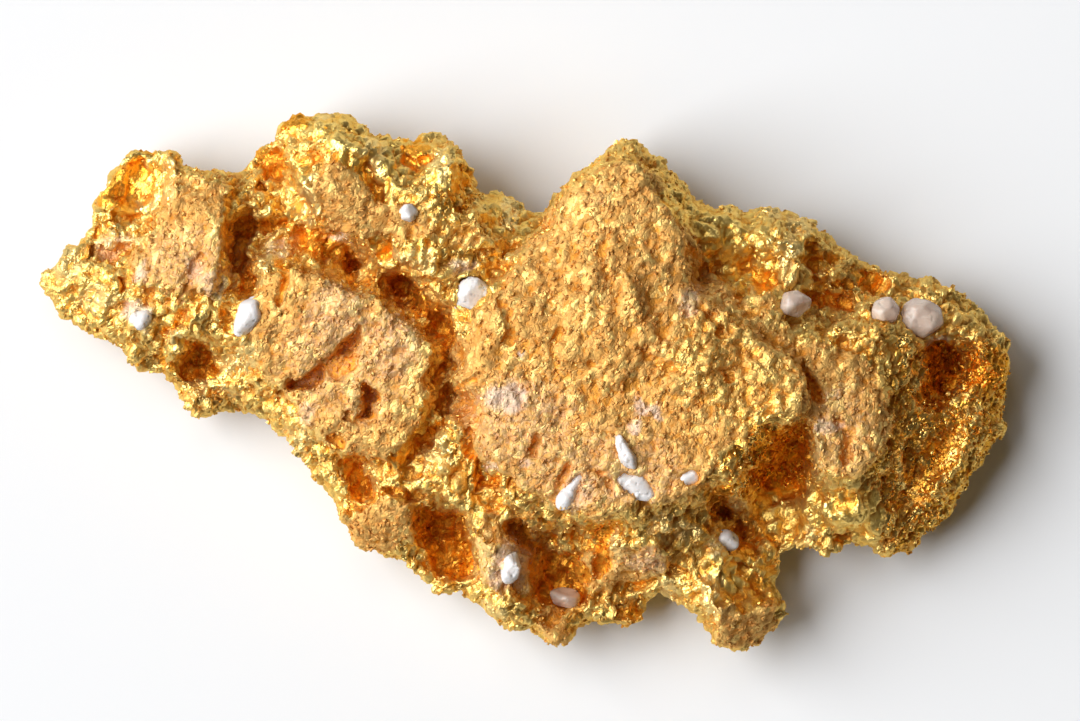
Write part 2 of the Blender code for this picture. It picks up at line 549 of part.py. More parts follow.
def grain_mesh(name, size):
    """A broken quartz grain: points on an ellipsoid, wrapped in flat faces."""
    form = bmesh.new()
    seed = sum(map(ord, name))
    rng = np.random.default_rng(seed)
    spread = rng.normal(size=(GRAIN_POINTS, 3))
    spread /= np.linalg.norm(spread, axis=1)[:, None]
    for direction in spread * rng.uniform(0.92, 1.0, (GRAIN_POINTS, 1)):
        form.verts.new(Vector(direction * drawn(size) / 2))
    hull = bmesh.ops.convex_hull(form, input=form.verts)
    bmesh.ops.delete(form, geom=hull["geom_interior"], context="VERTS")
    mesh = bpy.data.meshes.new(name)
    form.to_mesh(mesh)
    form.free()
    return mesh


def set_grain(name, gold, tree, shift):
    """Seats a quartz grain in a pocket of the gold."""
    (x, y), size, turn, stand = GRAINS[name]
    grain = new_object(name, grain_mesh(name, size))
    x, y = drawn((x, y)) - shift
    surface = height_at(tree, x, y)
    depth = size[2] * MM
    grain.location = (x, y, surface + stand * MM - depth / 2)
    grain.rotation_euler = (0, 0, np.radians(turn))

    pocket = new_object(name + "_pocket", grain.data)
    room = [1 + 2 * POCKET_GAP / (side * MM) for side in size]
    spin = Matrix.Rotation(np.radians(turn), 4, "Z")
    pocket.matrix_world = Matrix.Translation(grain.location) @ spin @ Matrix.Diagonal((*room, 1))
    pocket.hide_render = True
    pocket.display_type = "WIRE"
    cut = gold.modifiers.new("pocket of " + name, "BOOLEAN")
    cut.operation = "DIFFERENCE"
    cut.object = pocket
    return grain


def build_gold():
    mesh = slab()
    shape_slab(mesh)
    crumple(mesh)
    mesh = thinned(remeshed(mesh, SKIN_VOXEL), GOLD_TRIANGLES)
    mesh.transform(Matrix.Scale(NUGGET_LENGTH / length_of(mesh), 4))
    wear_feet(mesh)
    shift = centre_of_plan(mesh)
    mesh.transform(Matrix.Translation(-shift))
    mesh.name = "gold"
    mesh.shade_flat()
    gold = new_object("gold", mesh)
    gold.data.materials.append(material("native gold", (0.94, 0.62, 0.20), 0.38, metallic=1.0))
    return gold, np.array(shift[:2])


def main():
    clear_scene()
    noise.seed_set(NOISE_SEED)
    gold, shift = build_gold()
    tree = BVHTree.FromPolygons(
        [vertex.co for vertex in gold.data.vertices], [face.vertices for face in gold.data.polygons]
    )
    milky = material("milky quartz", (0.88, 0.86, 0.84), 0.35, transmission=0.2)
    clear = material("clear quartz", (0.86, 0.70, 0.58), 0.18, transmission=0.7)
    for name in GRAINS:
        grain = set_grain(name, gold, tree, shift)
        grain.data.materials.append(clear if name in CLEAR_GRAINS else milky)


main()
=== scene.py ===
import itertools

import bmesh
import bpy
import numpy as np
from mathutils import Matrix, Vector
from mathutils.bvhtree import BVHTree


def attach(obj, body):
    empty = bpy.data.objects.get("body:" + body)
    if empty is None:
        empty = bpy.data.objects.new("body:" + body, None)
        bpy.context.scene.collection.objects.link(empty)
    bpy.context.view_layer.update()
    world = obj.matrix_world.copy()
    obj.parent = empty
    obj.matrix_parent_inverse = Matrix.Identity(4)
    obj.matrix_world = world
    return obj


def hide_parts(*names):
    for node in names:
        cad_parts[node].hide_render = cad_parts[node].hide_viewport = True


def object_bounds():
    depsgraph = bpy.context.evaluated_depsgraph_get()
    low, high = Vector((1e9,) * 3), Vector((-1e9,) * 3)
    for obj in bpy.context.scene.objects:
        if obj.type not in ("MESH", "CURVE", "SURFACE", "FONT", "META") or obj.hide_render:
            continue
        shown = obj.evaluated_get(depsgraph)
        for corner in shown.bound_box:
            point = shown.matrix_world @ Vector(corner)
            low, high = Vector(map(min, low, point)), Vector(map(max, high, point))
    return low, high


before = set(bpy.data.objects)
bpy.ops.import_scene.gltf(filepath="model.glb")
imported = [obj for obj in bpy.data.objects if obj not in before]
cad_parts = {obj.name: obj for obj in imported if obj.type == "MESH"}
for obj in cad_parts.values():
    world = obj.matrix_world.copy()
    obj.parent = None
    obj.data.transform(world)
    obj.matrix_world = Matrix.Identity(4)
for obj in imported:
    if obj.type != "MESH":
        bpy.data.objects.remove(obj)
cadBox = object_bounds()
mm = 0.001

# Places on the nugget are read off the photograph, which is 1080 x 721 pixels.
photo = {
    "width": 1080,
    "height": 721,
    "pixelsPerMm": 24.45,
    "middle": (525, 382.5),  # pixel over the middle of the nugget
}

studio = {
    "cameraHeight": 600 * mm,
    "focusHeight": 4 * mm,  # level at which the photograph's scale holds
    "filmWidth": 36,  # millimetres, as on the camera
    "paper": (0.88, 0.90, 0.93),
    "paperRoughness": 0.9,
    "paperGloss": 0.2,
    "paperSize": 1.2,
    "paperDrop": 0.01 * mm,  # how far the paper lies under the worn feet
    "keyFrom": (-1.0, 0.14, 0.90),  # direction from the nugget to the big light
    "keyDistance": 0.90,
    "keySize": 1.0,
    "keyPower": 14.4,
    "topFrom": (-0.25, 0.9, 1.6),  # direction to the small light
    "topDistance": 0.40,
    "topSize": 0.16,
    "topPower": 0.14,
    "skyColour": (1.0, 0.80, 0.55),  # light thrown back by the room
    "skyStrength": 0.07,
}


def onNugget(x, y):
    # metres in the frame from a pixel of the photograph
    return ((x - photo["middle"][0]) / photo["pixelsPerMm"] * mm,
            (photo["middle"][1] - y) / photo["pixelsPerMm"] * mm)


def addObject(name, data):
    thing = bpy.data.objects.new(name, data)
    bpy.context.scene.collection.objects.link(thing)
    return thing


def aim(thing, place, target):
    thing.location = place
    thing.rotation_euler = (Vector(target) - Vector(place)).to_track_quat("-Z", "Y").to_euler()


def softLight(name, direction, distance, size, power):
    lamp = bpy.data.lights.new(name, "AREA")
    lamp.shape = "DISK"
    lamp.size = size
    lamp.energy = power
    aim(addObject(name, lamp), Vector(direction).normalized() * distance, (0, 0, 0))


def setStudio():
    scene = bpy.context.scene
    centreX, centreY = onNugget(photo["width"] / 2, photo["height"] / 2)
    lens = bpy.data.cameras.new("camera")
    lens.sensor_width = studio["filmWidth"]
    seenWidth = photo["width"] / photo["pixelsPerMm"] * mm
    lens.lens = studio["filmWidth"] * studio["cameraHeight"] / seenWidth
    lens.clip_start = 0.01
    lens.clip_end = 10
    camera = addObject("camera", lens)
    camera.location = (centreX, centreY, studio["cameraHeight"] + studio["focusHeight"])
    scene.camera = camera

    softLight("key", studio["keyFrom"], studio["keyDistance"], studio["keySize"], studio["keyPower"])
    softLight("top", studio["topFrom"], studio["topDistance"], studio["topSize"], studio["topPower"])

    world = bpy.data.worlds.new("room")
    world.use_nodes = True
    sky = world.node_tree.nodes["Background"]
    sky.inputs["Color"].default_value = (*studio["skyColour"], 1)
    sky.inputs["Strength"].default_value = studio["skyStrength"]
    scene.world = world
    scene.view_settings.view_transform = "Standard"

    half = studio["paperSize"] / 2
    sheet = bpy.data.meshes.new("paper")
    sheet.from_pydata([(-half, -half, 0), (half, -half, 0), (half, half, 0), (-half, half, 0)],
                      [], [(0, 1, 2, 3)])
    paper = addObject("paper", sheet)
    paper.location.z = -studio["paperDrop"]
    finish = bpy.data.materials.new("paper")
    finish.use_nodes = True
    surface = finish.node_tree.nodes["Principled BSDF"]
    surface.inputs["Base Color"].default_value = (*studio["paper"], 1)
    surface.inputs["Roughness"].default_value = studio["paperRoughness"]
    surface.inputs["Specular IOR Level"].default_value = studio["paperGloss"]
    sheet.materials.append(finish)
    print("studio set")


# Noises with different salts don't follow one another.
salts = {
    "twist": 3,
    "regionEdges": 40,
    "cuts": 60,
    "crumbTurn": 70,
    "groove": 80,
    "run": 140,
    "tone": 200,
    "chips": 300,
    "swell": 330,
}


def randomAt(cells, salt):
    # a number from 0 to 1 for each cell of a grid, always the same for the same cell and salt; the large
    # numbers only scramble it
    mixed = (cells[:, 0] * 374761393 + cells[:, 1] * 668265263
             + cells[:, 2] * 1440662683 + salt * 974634777) & 0xFFFFFFFF
    mixed = ((mixed ^ (mixed >> 13)) * 1274126177) & 0xFFFFFFFF
    return (mixed ^ (mixed >> 16)) / 2**32


def softNoise(points, size, salt):
    # smooth swells about one size apart, from -1 to 1
    at = points / size
    corner = np.floor(at).astype(np.int64)
    within = at - corner
    share = within * within * (3 - 2 * within)
    total = np.zeros(len(points))
    for step in itertools.product((0, 1), repeat=3):
        weight = np.prod(np.where(step, share, 1 - share), axis=1)
        total += weight * (randomAt(corner + step, salt) * 2 - 1)
    return total


def vectorNoise(points, size, salt):
    return np.stack([softNoise(points, size, salt + k) for k in range(3)], axis=1)


def lumpNoise(points, size, crease, tilt, stagger, salt):
    # lumps with creases between, each leaning its own way and standing at its own height; mostly 0 to 1
    at = points / size
    home = np.floor(at).astype(np.int64)
    nearest = np.full(len(at), np.inf)
    second = nearest.copy()
    owner = home.copy()
    middle = at.copy()
    for step in itertools.product((-1, 0, 1), repeat=3):
        cell = home + step
        seed = cell + np.stack([randomAt(cell, salt + k) for k in range(3)], axis=1)
        away = np.linalg.norm(at - seed, axis=1)
        closer = away < nearest
        second = np.where(closer, nearest, np.minimum(second, away))
        nearest = np.where(closer, away, nearest)
        owner[closer] = cell[closer]
        middle[closer] = seed[closer]
    gap = ease((second - nearest) / crease)
    lean = np.stack([randomAt(owner, salt + 10 + k) * 2 - 1 for k in range(3)], axis=1)
    standing = randomAt(owner, salt + 20) - 0.5
    return gap + tilt * ((at - middle) * lean).sum(axis=1) + stagger * standing


def ease(share):
    # a smooth step from 0 to 1
    share = np.clip(share, 0, 1)
    return share * share * (3 - 2 * share)


def facingUp(normals, none, full):
    # 0 where a normal's height is under the first number, 1 where it is over the second
    return ease((normals[:, 2] - none) / (full - none))


def distanceToLine(spots, line, closed=False):
    line = np.array(line, float)
    if len(line) == 1:
        return np.linalg.norm(spots - line[0], axis=1)
    ends = np.roll(line, -1, axis=0) if closed else line[1:]
    nearest = np.full(len(spots), np.inf)
    for start, end in zip(line, ends):
        along = end - start
        share = np.clip((spots - start) @ along / (along @ along), 0, 1)
        nearest = np.minimum(nearest, np.linalg.norm(spots - start - share[:, None] * along, axis=1))
    return nearest


def insideOf(spots, corners):
    # whether a line from the spot to the right crosses the outline an odd number of times
    corners = np.array(corners, float)
    x, y = spots.T
    within = np.zeros(len(spots), bool)
    for (x0, y0), (x1, y1) in zip(corners, np.roll(corners, -1, axis=0)):
        crosses = (y0 > y) != (y1 > y)
        with np.errstate(divide="ignore", invalid="ignore"):
            within ^= crosses & (x < x0 + (y - y0) * (x1 - x0) / (y1 - y0))
    return within


def depthIn(spots, corners):
    # how far inside the corners a spot is, in pixels; less than 0 outside
    reach = distanceToLine(spots, corners, closed=True)
    return np.where(insideOf(spots, corners), reach, -reach)


def patch(spots, corners, softness):
    # 1 well inside the corners, 0 outside
    return ease(0.5 + depthIn(spots, corners) / (2 * softness))


def stroke(spots, line, width, steepness=1):
    # 1 on the line, 0 at its width
    return ease(steepness * (1 - distanceToLine(spots, line) / width))


goldForm = {
    "coarseSkin": 0.125 * mm,  # spacing of the mesh that is softened and carved
    "softening": 8,
    "leastThickness": 0.7 * mm,  # gold left under the cavities
    "levelling": 0.8,  # how far each ledge is brought to a plane
    "mostLevelled": 0.8 * mm,
    "ledgeLift": 0.12 * mm,
    "ledgeEdge": 3,  # softness of a ledge's edge, in pixels
    "groove": (0.22 * mm, 8, 9),  # round the ledges: depth, and distance and half width in pixels
    "grooveRun": 1.1 * mm,  # the groove is deeper and shallower about this far apart
    "regionEdges": ((1.4 * mm, 8), (0.5 * mm, 7)),  # wavelengths that fray regions, and reach in pixels
    "cutEdges": (0.5 * mm, 4),  # the same for cavities, cracks and folds
    "mapStep": 0.25 * mm,  # spacing of the map of heights
    "mapBlur": 5,  # how many steps of it are blurred together each way
    "fineSkin": 0.09 * mm,  # spacing of the mesh that is crumbled
    "triangles": 196000,
    "twist": (0.7 * mm, 0.07 * mm),  # wavelength and reach of a sideways shove, so that lumps overhang
    "lumpRun": (60, 1.5),  # the way that lumps lie, in degrees from X, and how much longer they are that way
    "runBend": (1.3 * mm, 0.12 * mm),  # wavelength and reach of the bends in their rows
    "lumpBend": (0.6, 0.15),  # the same for one lump's border, in sizes of the lump
    "lumpLevel": 0.6,  # the height within a lump that stays where the skin was
    # height of nuggets, crumbs and grains on each kind of surface
    "matt": (0.05 * mm, 0.07 * mm, 0.065 * mm),
    "nuggety": (0.17 * mm, 0.20 * mm, 0.09 * mm),
    "fold": (0.15 * mm, 0.11 * mm, 0.06 * mm),
    "glitter": (0.10 * mm, 0.11 * mm, 0.08 * mm),
    "rim": 0.6,  # share of the lumps left on the steep sides
    "underside": 0.35,  # share of the crumbs and grains that shows under the nugget
}

# Lumps of gold, coarse to fine. A crease between two is this share of a lump's size wide. Tilt and stagger
# are shares of a lump's height: how much it leans, and how much one stands over the next.
lumpKinds = {
    "nuggets": {"size": 0.95 * mm, "crease": 0.5, "tilt": 0.7, "stagger": 0.7, "salt": 5},
    "crumbs": {"size": 0.46 * mm, "crease": 0.5, "tilt": 0.9, "stagger": 0.9, "salt": 50},
    "grains": {"size": 0.27 * mm, "crease": 0.6, "tilt": 0.9, "stagger": 0.9, "salt": 90},
}

# Softness of the edges of each kind of region, in pixels.
regionSoftness = {"matt": 6, "golden": 20, "fold": 8, "glitter": 14}

# Regions of the surface, by their corners in the photograph's pixels.
mattRegions = {
    "shield": [(600, 160), (640, 158), (660, 190), (695, 235), (728, 290), (770, 325), (802, 365), (812, 405),
               (795, 432), (745, 442), (715, 470), (690, 497), (640, 505), (600, 522), (572, 502), (520, 484),
               (478, 462), (455, 425), (451, 390), (455, 345), (482, 305), (522, 248), (560, 198)],
    "middle plate": [(252, 285), (300, 262), (345, 283), (385, 298), (418, 320), (432, 350), (430, 388),
                     (415, 422), (400, 455), (370, 470), (338, 452), (310, 432), (285, 402), (262, 372),
                     (244, 330)],
    "crown plate": [(318, 172), (324, 160), (345, 165), (370, 182), (384, 204), (425, 205), (478, 222),
                    (498, 238), (470, 250), (440, 245), (392, 238), (372, 242), (345, 236), (324, 230),
                    (314, 212)],
    "left plate": [(172, 182), (190, 172), (215, 176), (236, 184), (222, 202), (222, 225), (226, 262),
                   (216, 300), (186, 300), (150, 285), (128, 262), (140, 240), (160, 222), (154, 212),
                   (170, 206)],
    "right ridge": [(742, 282), (772, 298), (802, 338), (850, 350), (884, 380), (890, 430), (876, 470),
                    (840, 482), (815, 460), (806, 415), (800, 372), (762, 332)],
    "thumb": [(342, 516), (375, 500), (419, 500), (419, 540), (379, 552), (346, 548)],
    "bottom block": [(480, 515), (520, 520), (545, 560), (526, 592), (490, 590), (476, 550)],
    "blunt tooth": [(540, 606), (572, 604), (574, 652), (545, 652)],
    "lower plate": [(570, 560), (624, 545), (668, 548), (664, 576), (610, 590), (575, 585)],
    "tail end": [(716, 606), (780, 604), (782, 640), (740, 655), (716, 650)],
}

# Parts of the ledges where half of the gold is bright.
goldenRegions = {
    "right of the shield": [(690, 300), (745, 310), (800, 365), (808, 430), (752, 440), (700, 410),
                            (650, 360)],
    "right of the crown": [(400, 168), (478, 190), (500, 238), (440, 250), (400, 215)],
    "ridge top": [(740, 286), (790, 310), (840, 345), (800, 360), (756, 325)],
}
foldRegions = {
    "crown cliff": [(290, 166), (306, 166), (322, 222), (306, 226), (292, 196)],
    "crown crest": [(262, 122), (300, 108), (345, 108), (400, 130), (460, 148), (474, 186), (440, 192),
                    (402, 166), (384, 202), (364, 186), (332, 150), (292, 128)],
    "scoop": [(96, 160), (130, 148), (172, 155), (175, 206), (142, 213), (98, 212)],
    "link": [(478, 188), (520, 186), (538, 200), (530, 242), (502, 236), (480, 214)],
    "saddle": [(655, 170), (690, 200), (742, 214), (770, 222), (776, 300), (762, 318), (735, 290), (702, 252),
               (664, 204)],
    "amber slope": [(745, 492), (808, 490), (812, 536), (760, 540)],
    "tail slope": [(704, 545), (778, 545), (784, 600), (720, 616), (700, 590)],
    "heel shelf": [(806, 486), (850, 482), (880, 500), (878, 545), (850, 545), (812, 520)],
}
glitterRegions = {
    "right flank": [(886, 335), (930, 345), (1010, 340), (1020, 450), (960, 540), (890, 560), (872, 500),
                    (884, 440), (892, 390)],
    "greenish glitter": [(428, 194), (472, 194), (474, 218), (432, 220)],
    "recess": [(748, 420), (806, 418), (812, 492), (745, 496), (722, 470)],
}

# White and lavender dust in the photograph: middle, half width, half height, strength.
dustSpots = [
    (343, 239, 12, 6, 0.8), (280, 250, 16, 9, 0.5), (112, 243, 22, 12, 0.5), (146, 270, 10, 8, 0.7),
    (201, 272, 11, 15, 0.55), (218, 284, 12, 18, 0.5), (142, 314, 14, 12, 0.8), (340, 318, 34, 40, 0.35),
    (395, 345, 26, 40, 0.35), (312, 420, 16, 12, 0.45), (503, 398, 20, 17, 0.75), (545, 410, 16, 12, 0.35),
    (642, 411, 11, 9, 0.7), (634, 427, 8, 5, 0.7), (521, 464, 8, 6, 0.6), (493, 467, 8, 6, 0.6),
    (690, 300, 12, 16, 0.5), (506, 567, 19, 24, 0.6), (645, 560, 22, 12, 0.4), (938, 337, 11, 7, 0.7),
    (830, 424, 12, 8, 0.6), (833, 391, 12, 8, 0.4), (720, 545, 14, 12, 0.35), (628, 485, 34, 22, 0.35),
    (575, 488, 22, 20, 0.45), (465, 268, 12, 10, 0.7), (520, 351, 5, 5, 0.9), (600, 195, 14, 20, 0.2),
    (600, 470, 90, 40, 0.28), (520, 420, 60, 50, 0.3), (350, 360, 70, 60, 0.28), (190, 260, 50, 40, 0.28),
    (845, 430, 30, 50, 0.25),
]

# Painted shade, brown, on faces that turn away from the light: middle, half width, half height, strength.
brownShadeSpots = [
    (295, 121, 20, 5, 0.8), (146, 150, 8, 4, 0.8), (415, 150, 16, 10, 0.7), (462, 178, 6, 14, 0.7),
    (762, 275, 14, 9, 0.6), (985, 372, 28, 24, 0.5), (262, 160, 12, 10, 0.7), (122, 188, 9, 18, 0.7),
    (560, 480, 16, 8, 0.3), (634, 618, 14, 8, 0.7), (740, 534, 20, 12, 0.5),
]

# Painted highlights in pale gold, on faces turned to the light: middle, half width, half height.
highlightSpots = [
    (168, 180, 7, 26), (150, 203, 18, 5), (307, 200, 9, 24), (327, 116, 8, 9), (375, 152, 10, 20),
    (443, 162, 8, 18), (60, 265, 16, 18), (176, 335, 8, 12), (264, 262, 8, 14), (425, 262, 12, 10),
    (402, 256, 8, 8), (437, 452, 8, 16), (470, 468, 5, 10), (484, 560, 6, 26), (493, 617, 10, 12),
    (668, 592, 9, 12), (715, 598, 12, 20), (690, 528, 14, 10), (660, 530, 10, 12), (735, 502, 10, 9),
    (788, 262, 8, 22), (800, 222, 14, 12), (772, 212, 8, 8), (818, 450, 5, 22), (812, 535, 10, 8),
    (614, 545, 6, 22),
    (510, 212, 12, 14), (210, 392, 22, 10), (240, 360, 18, 14), (100, 300, 20, 12), (300, 440, 12, 16),
]

# Cavities with sharp edges: depth in mm, softness of the edge in pixels, and corners.
cavities = {
    "left crack": (1.0, 3, [(284, 389), (300, 377), (312, 370), (324, 366), (324, 380), (316, 388),
                            (300, 389)]),
    "left crack slope": (0.5, 4, [(324, 366), (345, 357), (357, 350), (356, 372), (328, 380)]),
    "upper crack": (0.9, 3, [(320, 362), (336, 356), (340, 345), (350, 336), (362, 328), (358, 342),
                             (350, 352), (336, 360)]),
    "left pit": (1.0, 3, [(362, 384), (378, 390), (379, 401), (371, 403), (373, 418), (355, 419),
                          (364, 410), (364, 396)]),
    "orange cavity": (0.8, 4, [(199, 341), (207, 345), (217, 370), (212, 378), (184, 380), (188, 356)]),
    "left cavity": (0.7, 4, [(224, 225), (240, 217), (288, 219), (290, 229), (256, 232), (245, 243),
                             (246, 262), (238, 272), (228, 266)]),
    "valley under the crown": (0.5, 5, [(300, 225), (330, 232), (350, 245), (362, 266), (352, 278),
                                        (335, 262), (312, 258), (298, 248)]),
    "deepest hole": (0.8, 3, [(340, 250), (352, 252), (362, 266), (352, 277), (344, 266)]),
    "dent under the crown": (0.5, 4, [(374, 242), (392, 240), (394, 258), (380, 264)]),
    "valley beside the shield": (0.6, 5, [(378, 284), (392, 270), (412, 272), (420, 290), (440, 305),
                                          (454, 322), (456, 345), (446, 352), (444, 335), (420, 318),
                                          (404, 298)]),
    "dent by the white grain": (0.5, 3, [(244, 268), (256, 264), (257, 284), (249, 298), (238, 296)]),
    "thumb hollow": (0.6, 4, [(344, 456), (362, 452), (364, 476), (374, 490), (372, 500), (352, 498),
                              (346, 476)]),
    "lower left hollow": (0.7, 4, [(413, 506), (440, 512), (462, 514), (468, 540), (474, 566), (462, 580),
                                   (440, 578), (428, 560), (416, 540)]),
    "bottom slot": (0.8, 3, [(504, 522), (520, 518), (530, 536), (546, 552), (540, 560), (520, 546),
                             (506, 534)]),
    "lower basin": (0.6, 5, [(530, 558), (570, 552), (590, 570), (586, 602), (560, 612), (536, 598),
                             (528, 576)]),
    "orange column": (0.6, 3, [(585, 522), (624, 520), (612, 530), (609, 572), (598, 578), (594, 540)]),
    "recess arm": (0.8, 4, [(702, 492), (722, 484), (738, 484), (728, 496), (730, 518), (712, 520)]),
    "deep recess": (0.5, 5, [(748, 440), (762, 426), (802, 424), (812, 450), (810, 486), (792, 500),
                             (770, 496), (750, 470)]),
    "dot in the tail": (0.5, 3, [(735, 528), (746, 528), (748, 537), (737, 538)]),
    "hole behind the crest": (0.7, 3, [(804, 244), (814, 240), (818, 250), (810, 258)]),
    "orange hollow": (0.4, 4, [(800, 256), (818, 250), (842, 254), (838, 268), (820, 270), (806, 272)]),
    "brown hollow": (0.5, 4, [(846, 270), (880, 270), (892, 284), (884, 296), (858, 286)]),
    "gutter": (0.5, 3, [(800, 296), (822, 292), (850, 298), (848, 308), (806, 308)]),
    "right pit": (0.8, 4, [(924, 342), (940, 340), (958, 352), (962, 380), (950, 396), (930, 390),
                           (926, 366)]),
    "ridge crack": (0.6, 3, [(802, 366), (812, 374), (824, 396), (816, 402), (804, 384)]),
    "crown hollow": (0.5, 4, [(252, 150), (286, 150), (290, 170), (272, 178), (256, 172)]),
    "crown pin hole": (0.7, 3, [(257, 184), (268, 184), (268, 192), (258, 192)]),
}

# Cracks and slots seen in the photograph: width in pixels, depth in mm, and their line.
carvedLines = [
    (12, 0.45, [(105, 200), (120, 182), (138, 166)]), (5, 0.40, [(120, 192), (132, 180), (140, 172)]),
    (8, 0.30, [(97, 250), (112, 253), (127, 250)]), (5, 0.30, [(98, 232), (112, 222), (136, 214)]),
    (8, 0.25, [(200, 262), (194, 278), (190, 292)]), (5, 0.30, [(120, 276), (128, 290)]),
    (6, 0.30, [(369, 167), (374, 185), (383, 201)]), (6, 0.40, [(402, 162), (416, 164), (430, 158)]),
    (5, 0.30, [(458, 168), (462, 176)]), (5, 0.40, [(282, 262), (284, 280), (281, 300)]),
    (6, 0.35, [(383, 282), (396, 284), (404, 278)]), (5, 0.30, [(504, 221), (509, 229)]),
    (8, 0.25, [(631, 156), (642, 158), (650, 166)]), (8, 0.30, [(687, 249), (696, 258), (704, 268)]),
    (5, 0.25, [(592, 364)]), (5, 0.20, [(527, 376)]), (5, 0.25, [(468, 337)]), (5, 0.25, [(728, 376)]),
    (7, 0.40, [(446, 352), (444, 366), (436, 384)]), (5, 0.35, [(443, 397), (458, 388), (472, 382)]),
    (5, 0.50, [(468, 430), (474, 455), (480, 478)]), (5, 0.30, [(474, 399), (480, 415), (472, 430)]),
    (5, 0.45, [(445, 421), (425, 440), (405, 458)]), (5, 0.35, [(332, 436), (342, 446)]),
    (5, 0.35, [(350, 414)]), (6, 0.35, [(184, 314), (174, 324), (164, 333), (160, 376)]),
    (5, 0.35, [(224, 312), (228, 328)]), (6, 0.40, [(212, 392), (224, 396)]),
    (4, 0.40, [(395, 459), (418, 458)]), (5, 0.40, [(385, 492), (400, 490), (419, 494)]),
    (6, 0.40, [(480, 484), (492, 486), (500, 476)]), (5, 0.40, [(541, 514), (548, 528), (556, 540)]),
    (6, 0.30, [(540, 620), (552, 626), (568, 604)]), (5, 0.35, [(536, 438), (532, 452)]),
    (5, 0.35, [(552, 500), (562, 484), (570, 468)]), (6, 0.30, [(740, 570), (760, 585)]),
    (5, 0.40, [(774, 540)]), (5, 0.40, [(620, 612), (634, 618)]),
    (8, 0.25, [(748, 268), (760, 276), (773, 282)]), (5, 0.50, [(812, 270), (818, 280)]),
    (6, 0.45, [(836, 284), (848, 284)]), (5, 0.30, [(596, 470), (612, 486)]),
    (4, 0.25, [(700, 305), (716, 318), (722, 334)]), (5, 0.30, [(840, 420), (850, 440), (846, 460)]),
    (4, 0.25, [(560, 330), (552, 352), (556, 372)]), (4, 0.20, [(640, 345), (652, 362), (672, 370)]),
    (4, 0.22, [(500, 300), (512, 322), (508, 345)]), (4, 0.20, [(610, 235), (600, 258), (606, 280)]),
    (4, 0.30, [(836, 538), (850, 538)]), (5, 0.35, [(870, 300), (866, 288)]),
]

# Bright folds, ribs and knobs that stand up: width in pixels, height in mm, and their line.
raisedLines = [
    (8, 0.30, [(171, 157), (174, 180), (173, 206)]),
    (8, 0.22, [(246, 221), (266, 222), (288, 229)]),
    (17, 0.25, [(265, 262), (280, 255), (296, 250)]),
    (9, 0.25, [(299, 169), (307, 196), (314, 222)]),
    (10, 0.25, [(282, 122), (304, 118), (326, 116), (345, 114)]),
    (9, 0.28, [(438, 147), (452, 162), (456, 180)]),
    (9, 0.14, [(627, 281), (636, 298), (641, 317)]),
    (8, 0.22, [(434, 345), (437, 350)]), (8, 0.22, [(446, 364), (448, 372)]),
    (8, 0.28, [(173, 340), (179, 322), (193, 316)]),
    (9, 0.30, [(465, 518), (474, 532), (487, 543)]),
    (8, 0.25, [(649, 541), (668, 527), (692, 525)]),
    (9, 0.30, [(666, 583), (676, 592), (684, 604)]),
    (7, 0.22, [(755, 440), (762, 424), (776, 412)]),
    (8, 0.30, [(726, 500), (735, 492), (744, 500), (738, 512), (728, 508)]),
    (7, 0.30, [(820, 277), (832, 266), (847, 273)]),
    (7, 0.25, [(808, 426), (817, 448), (822, 470)]),
    (7, 0.25, [(894, 432), (899, 456), (899, 480)]),
    (9, 0.25, [(850, 486), (866, 504), (874, 540)]),
    (8, 0.30, [(805, 536), (822, 552)]),
    (8, 0.25, [(778, 602), (786, 610)]),
    (7, 0.22, [(704, 583), (716, 600), (722, 615)]),
]

def readMesh(mesh):
    places = np.empty(len(mesh.vertices) * 3, np.float32)
    normals = np.empty(len(mesh.vertices) * 3, np.float32)
    mesh.vertices.foreach_get("co", places)
    mesh.vertex_normals.foreach_get("vector", normals)
    return places.reshape(-1, 3).astype(float), normals.reshape(-1, 3).astype(float)


def moveMesh(mesh, places):
    mesh.vertices.foreach_set("co", places.astype(np.float32).ravel())
    mesh.update()


def keptInBox(places):
    # no point passes the box of the CAD model
    return np.clip(places, np.array(cadBox[0]), np.array(cadBox[1]))


def weldedCopy(name, cadMesh):
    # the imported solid's mesh with its corners joined
    form = bmesh.new()
    form.from_mesh(cadMesh)
    bmesh.ops.remove_doubles(form, verts=form.verts, dist=1e-6)
    mesh = bpy.data.meshes.new(name)
    form.to_mesh(mesh)
    form.free()
    return mesh


def treeOf(mesh):
    return BVHTree.FromPolygons([v.co for v in mesh.vertices], [f.vertices for f in mesh.polygons])


def applied(thing):
    # the object's mesh with its modifiers worked in
    bpy.context.view_layer.update()
    graph = bpy.context.evaluated_depsgraph_get()
    mesh = bpy.data.meshes.new_from_object(thing.evaluated_get(graph))
    thing.modifiers.clear()
    thing.data = mesh
    return mesh


def trianglesIn(mesh):
    # each face of n corners makes n - 2 triangles
    return sum(len(face.vertices) - 2 for face in mesh.polygons)


def paint(mesh, name, values):
    layer = mesh.attributes.new(name, "FLOAT", "POINT")
    layer.data.foreach_set("value", np.clip(values, 0, 1).astype(np.float32))


def pixelsOf(places):
    # where points of the nugget show in the photograph
    scale = photo["pixelsPerMm"] / mm
    return np.stack([photo["middle"][0] + places[:, 0] * scale,
                     photo["middle"][1] - places[:, 1] * scale], axis=1)


def frayedPixels(places):
    # the same, shoved about so that the edges of regions are ragged
    spots = pixelsOf(places)
    for wavelength, reach in goldForm["regionEdges"]:
        spots = spots + reach * vectorNoise(places, wavelength, salts["regionEdges"])[:, :2]
    return spots


def cutPixels(places):
    # the same for cavities, cracks and folds, whose edges are straighter
    wavelength, reach = goldForm["cutEdges"]
    return pixelsOf(places) + reach * vectorNoise(places, wavelength, salts["cuts"])[:, :2]


def regionShare(spots, regions, softness):
    share = np.zeros(len(spots))
    for corners in regions.values():
        share = np.maximum(share, patch(spots, corners, softness))
    return share


